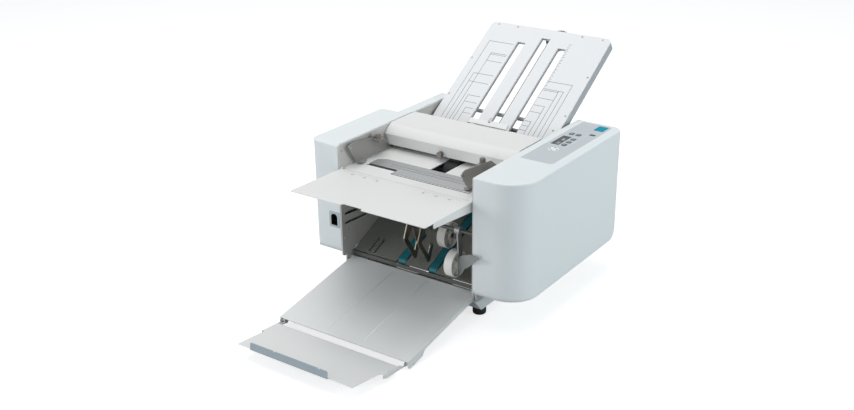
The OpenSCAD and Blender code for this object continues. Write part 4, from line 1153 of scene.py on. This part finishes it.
@dataclass
class Studio:
    """Floor, backdrop, lamps and the camera."""

    azimuth: float = 33.847
    elevation: float = 23.732
    focal_px: float = 1103.3
    centre_px: tuple = (455.0, 223.0)
    frame_px: tuple = (854, 410)
    eye: Point = (1246.97, -1670.15, 1107.98)
    sensor_mm: float = 36.0
    floor_half: float = 9.0
    # Name, place in metres, edge in metres, watts and colour of each lamp
    lamp_rows: tuple = (("key", (-0.5, 0.0, 2.8), 2.4, 45.0, "#FFFDFB"),
                        ("right_side", (2.6, 0.7, 0.9), 1.3, 30.0, "#F6FEFF"),
                        ("front_left", (-1.7, -1.7, 0.8), 1.1, 14.0, "#FFFFFF"),
                        ("low_front", (0.2, -2.4, 0.35), 1.0, 10.0, "#F8FCFF"))

    def build(self) -> None:
        """Makes the stage, the light and the camera."""
        self.camera()
        self.world()
        self.floor()
        # A large soft lamp overhead, one at the right and two lower ones in front
        for row in self.lamp_rows:
            self.lamp(*row)

    def camera(self) -> None:
        """Camera at the photograph's station point."""
        data = bpy.data.cameras.new("camera")
        data.sensor_width = self.sensor_mm
        data.sensor_fit = "HORIZONTAL"
        width, height = self.frame_px
        data.lens = self.focal_px / width * self.sensor_mm
        data.shift_x = -(self.centre_px[0] - width / 2) / width
        data.shift_y = (self.centre_px[1] - height / 2) / width
        data.clip_start, data.clip_end = 0.05, 50.0
        camera = link("camera", data)
        camera.location = seat(*self.eye)
        camera.rotation_euler = (math.radians(90 - self.elevation), 0.0, math.radians(self.azimuth))
        bpy.context.scene.camera = camera

    def world(self) -> None:
        """Soft sky that looks white to the camera and in reflections."""
        world = bpy.data.worlds.new("studio")
        bpy.context.scene.world = world
        tree = fresh_tree(world)
        path = add(tree, "ShaderNodeLightPath")
        seen = add(tree, "ShaderNodeMath", {"operation": "MAXIMUM"},
                   {0: path.outputs["Is Camera Ray"], 1: path.outputs["Is Glossy Ray"]})
        white = add(tree, "ShaderNodeMath", {"operation": "MAXIMUM"},
                    {0: seen.outputs[0], 1: path.outputs["Is Transmission Ray"]})
        sky = add(tree, "ShaderNodeBackground",
                  inputs={"Color": linear("#E4EEF6"), "Strength": 0.36})
        card = add(tree, "ShaderNodeBackground", inputs={"Color": (1, 1, 1, 1), "Strength": 1.0})
        mix = add(tree, "ShaderNodeMixShader",
                  inputs={0: white.outputs[0], 1: sky.outputs[0], 2: card.outputs[0]})
        add(tree, "ShaderNodeOutputWorld", inputs={"Surface": mix.outputs[0]})

    def floor(self) -> None:
        """Pale floor that keeps the machine's shadow."""
        bm = bmesh.new()
        bmesh.ops.create_grid(bm, x_segments=2, y_segments=2, size=self.floor_half)
        mesh = settle(bm, "floor")
        mat = bpy.data.materials.new("studio_paper")
        tree = fresh_tree(mat)
        path = add(tree, "ShaderNodeLightPath")
        paper = add(tree, "ShaderNodeBsdfDiffuse", inputs={"Color": linear("#C4C5C6")})
        lift = add(tree, "ShaderNodeEmission", inputs={"Color": (1, 1, 1, 1), "Strength": 0.72})
        both = add(tree, "ShaderNodeAddShader", inputs={0: paper.outputs[0], 1: lift.outputs[0]})
        mix = add(tree, "ShaderNodeMixShader",
                  inputs={0: path.outputs["Is Camera Ray"], 1: paper.outputs[0],
                          2: both.outputs[0]})
        add(tree, "ShaderNodeOutputMaterial", inputs={"Surface": mix.outputs[0]})
        mesh.materials.append(mat)
        floor = link("floor", mesh)

    def lamp(self, name: str, where: Point, size: float, power: float, colour: str) -> None:
        """Adds a square area lamp aimed at the machine, sized in metres and watts."""
        data = bpy.data.lights.new(name, "AREA")
        data.shape = "SQUARE"
        data.size = size
        data.energy = power
        data.color = linear(colour)[:3]
        lamp = link(name, data)
        lamp.location = where
        aim = Vector((0.0, 0.0, 0.2)) - Vector(where)
        lamp.rotation_euler = aim.to_track_quat("-Z", "Y").to_euler()


def main() -> None:
    """Builds the sub-assemblies in order."""
    logging.basicConfig(level=logging.INFO, format="%(message)s")
    bpy.context.scene.view_settings.view_transform = "Standard"
    for assembly in (Casework(), FeedSection(), FoldPlates(), RollerTrain(), Delivery(),
                     Controls(), Studio()):
        log.info("building %s", type(assembly).__name__)
        assembly.build()
    bpy.context.view_layer.update()


if __name__ == "__main__":
    main()
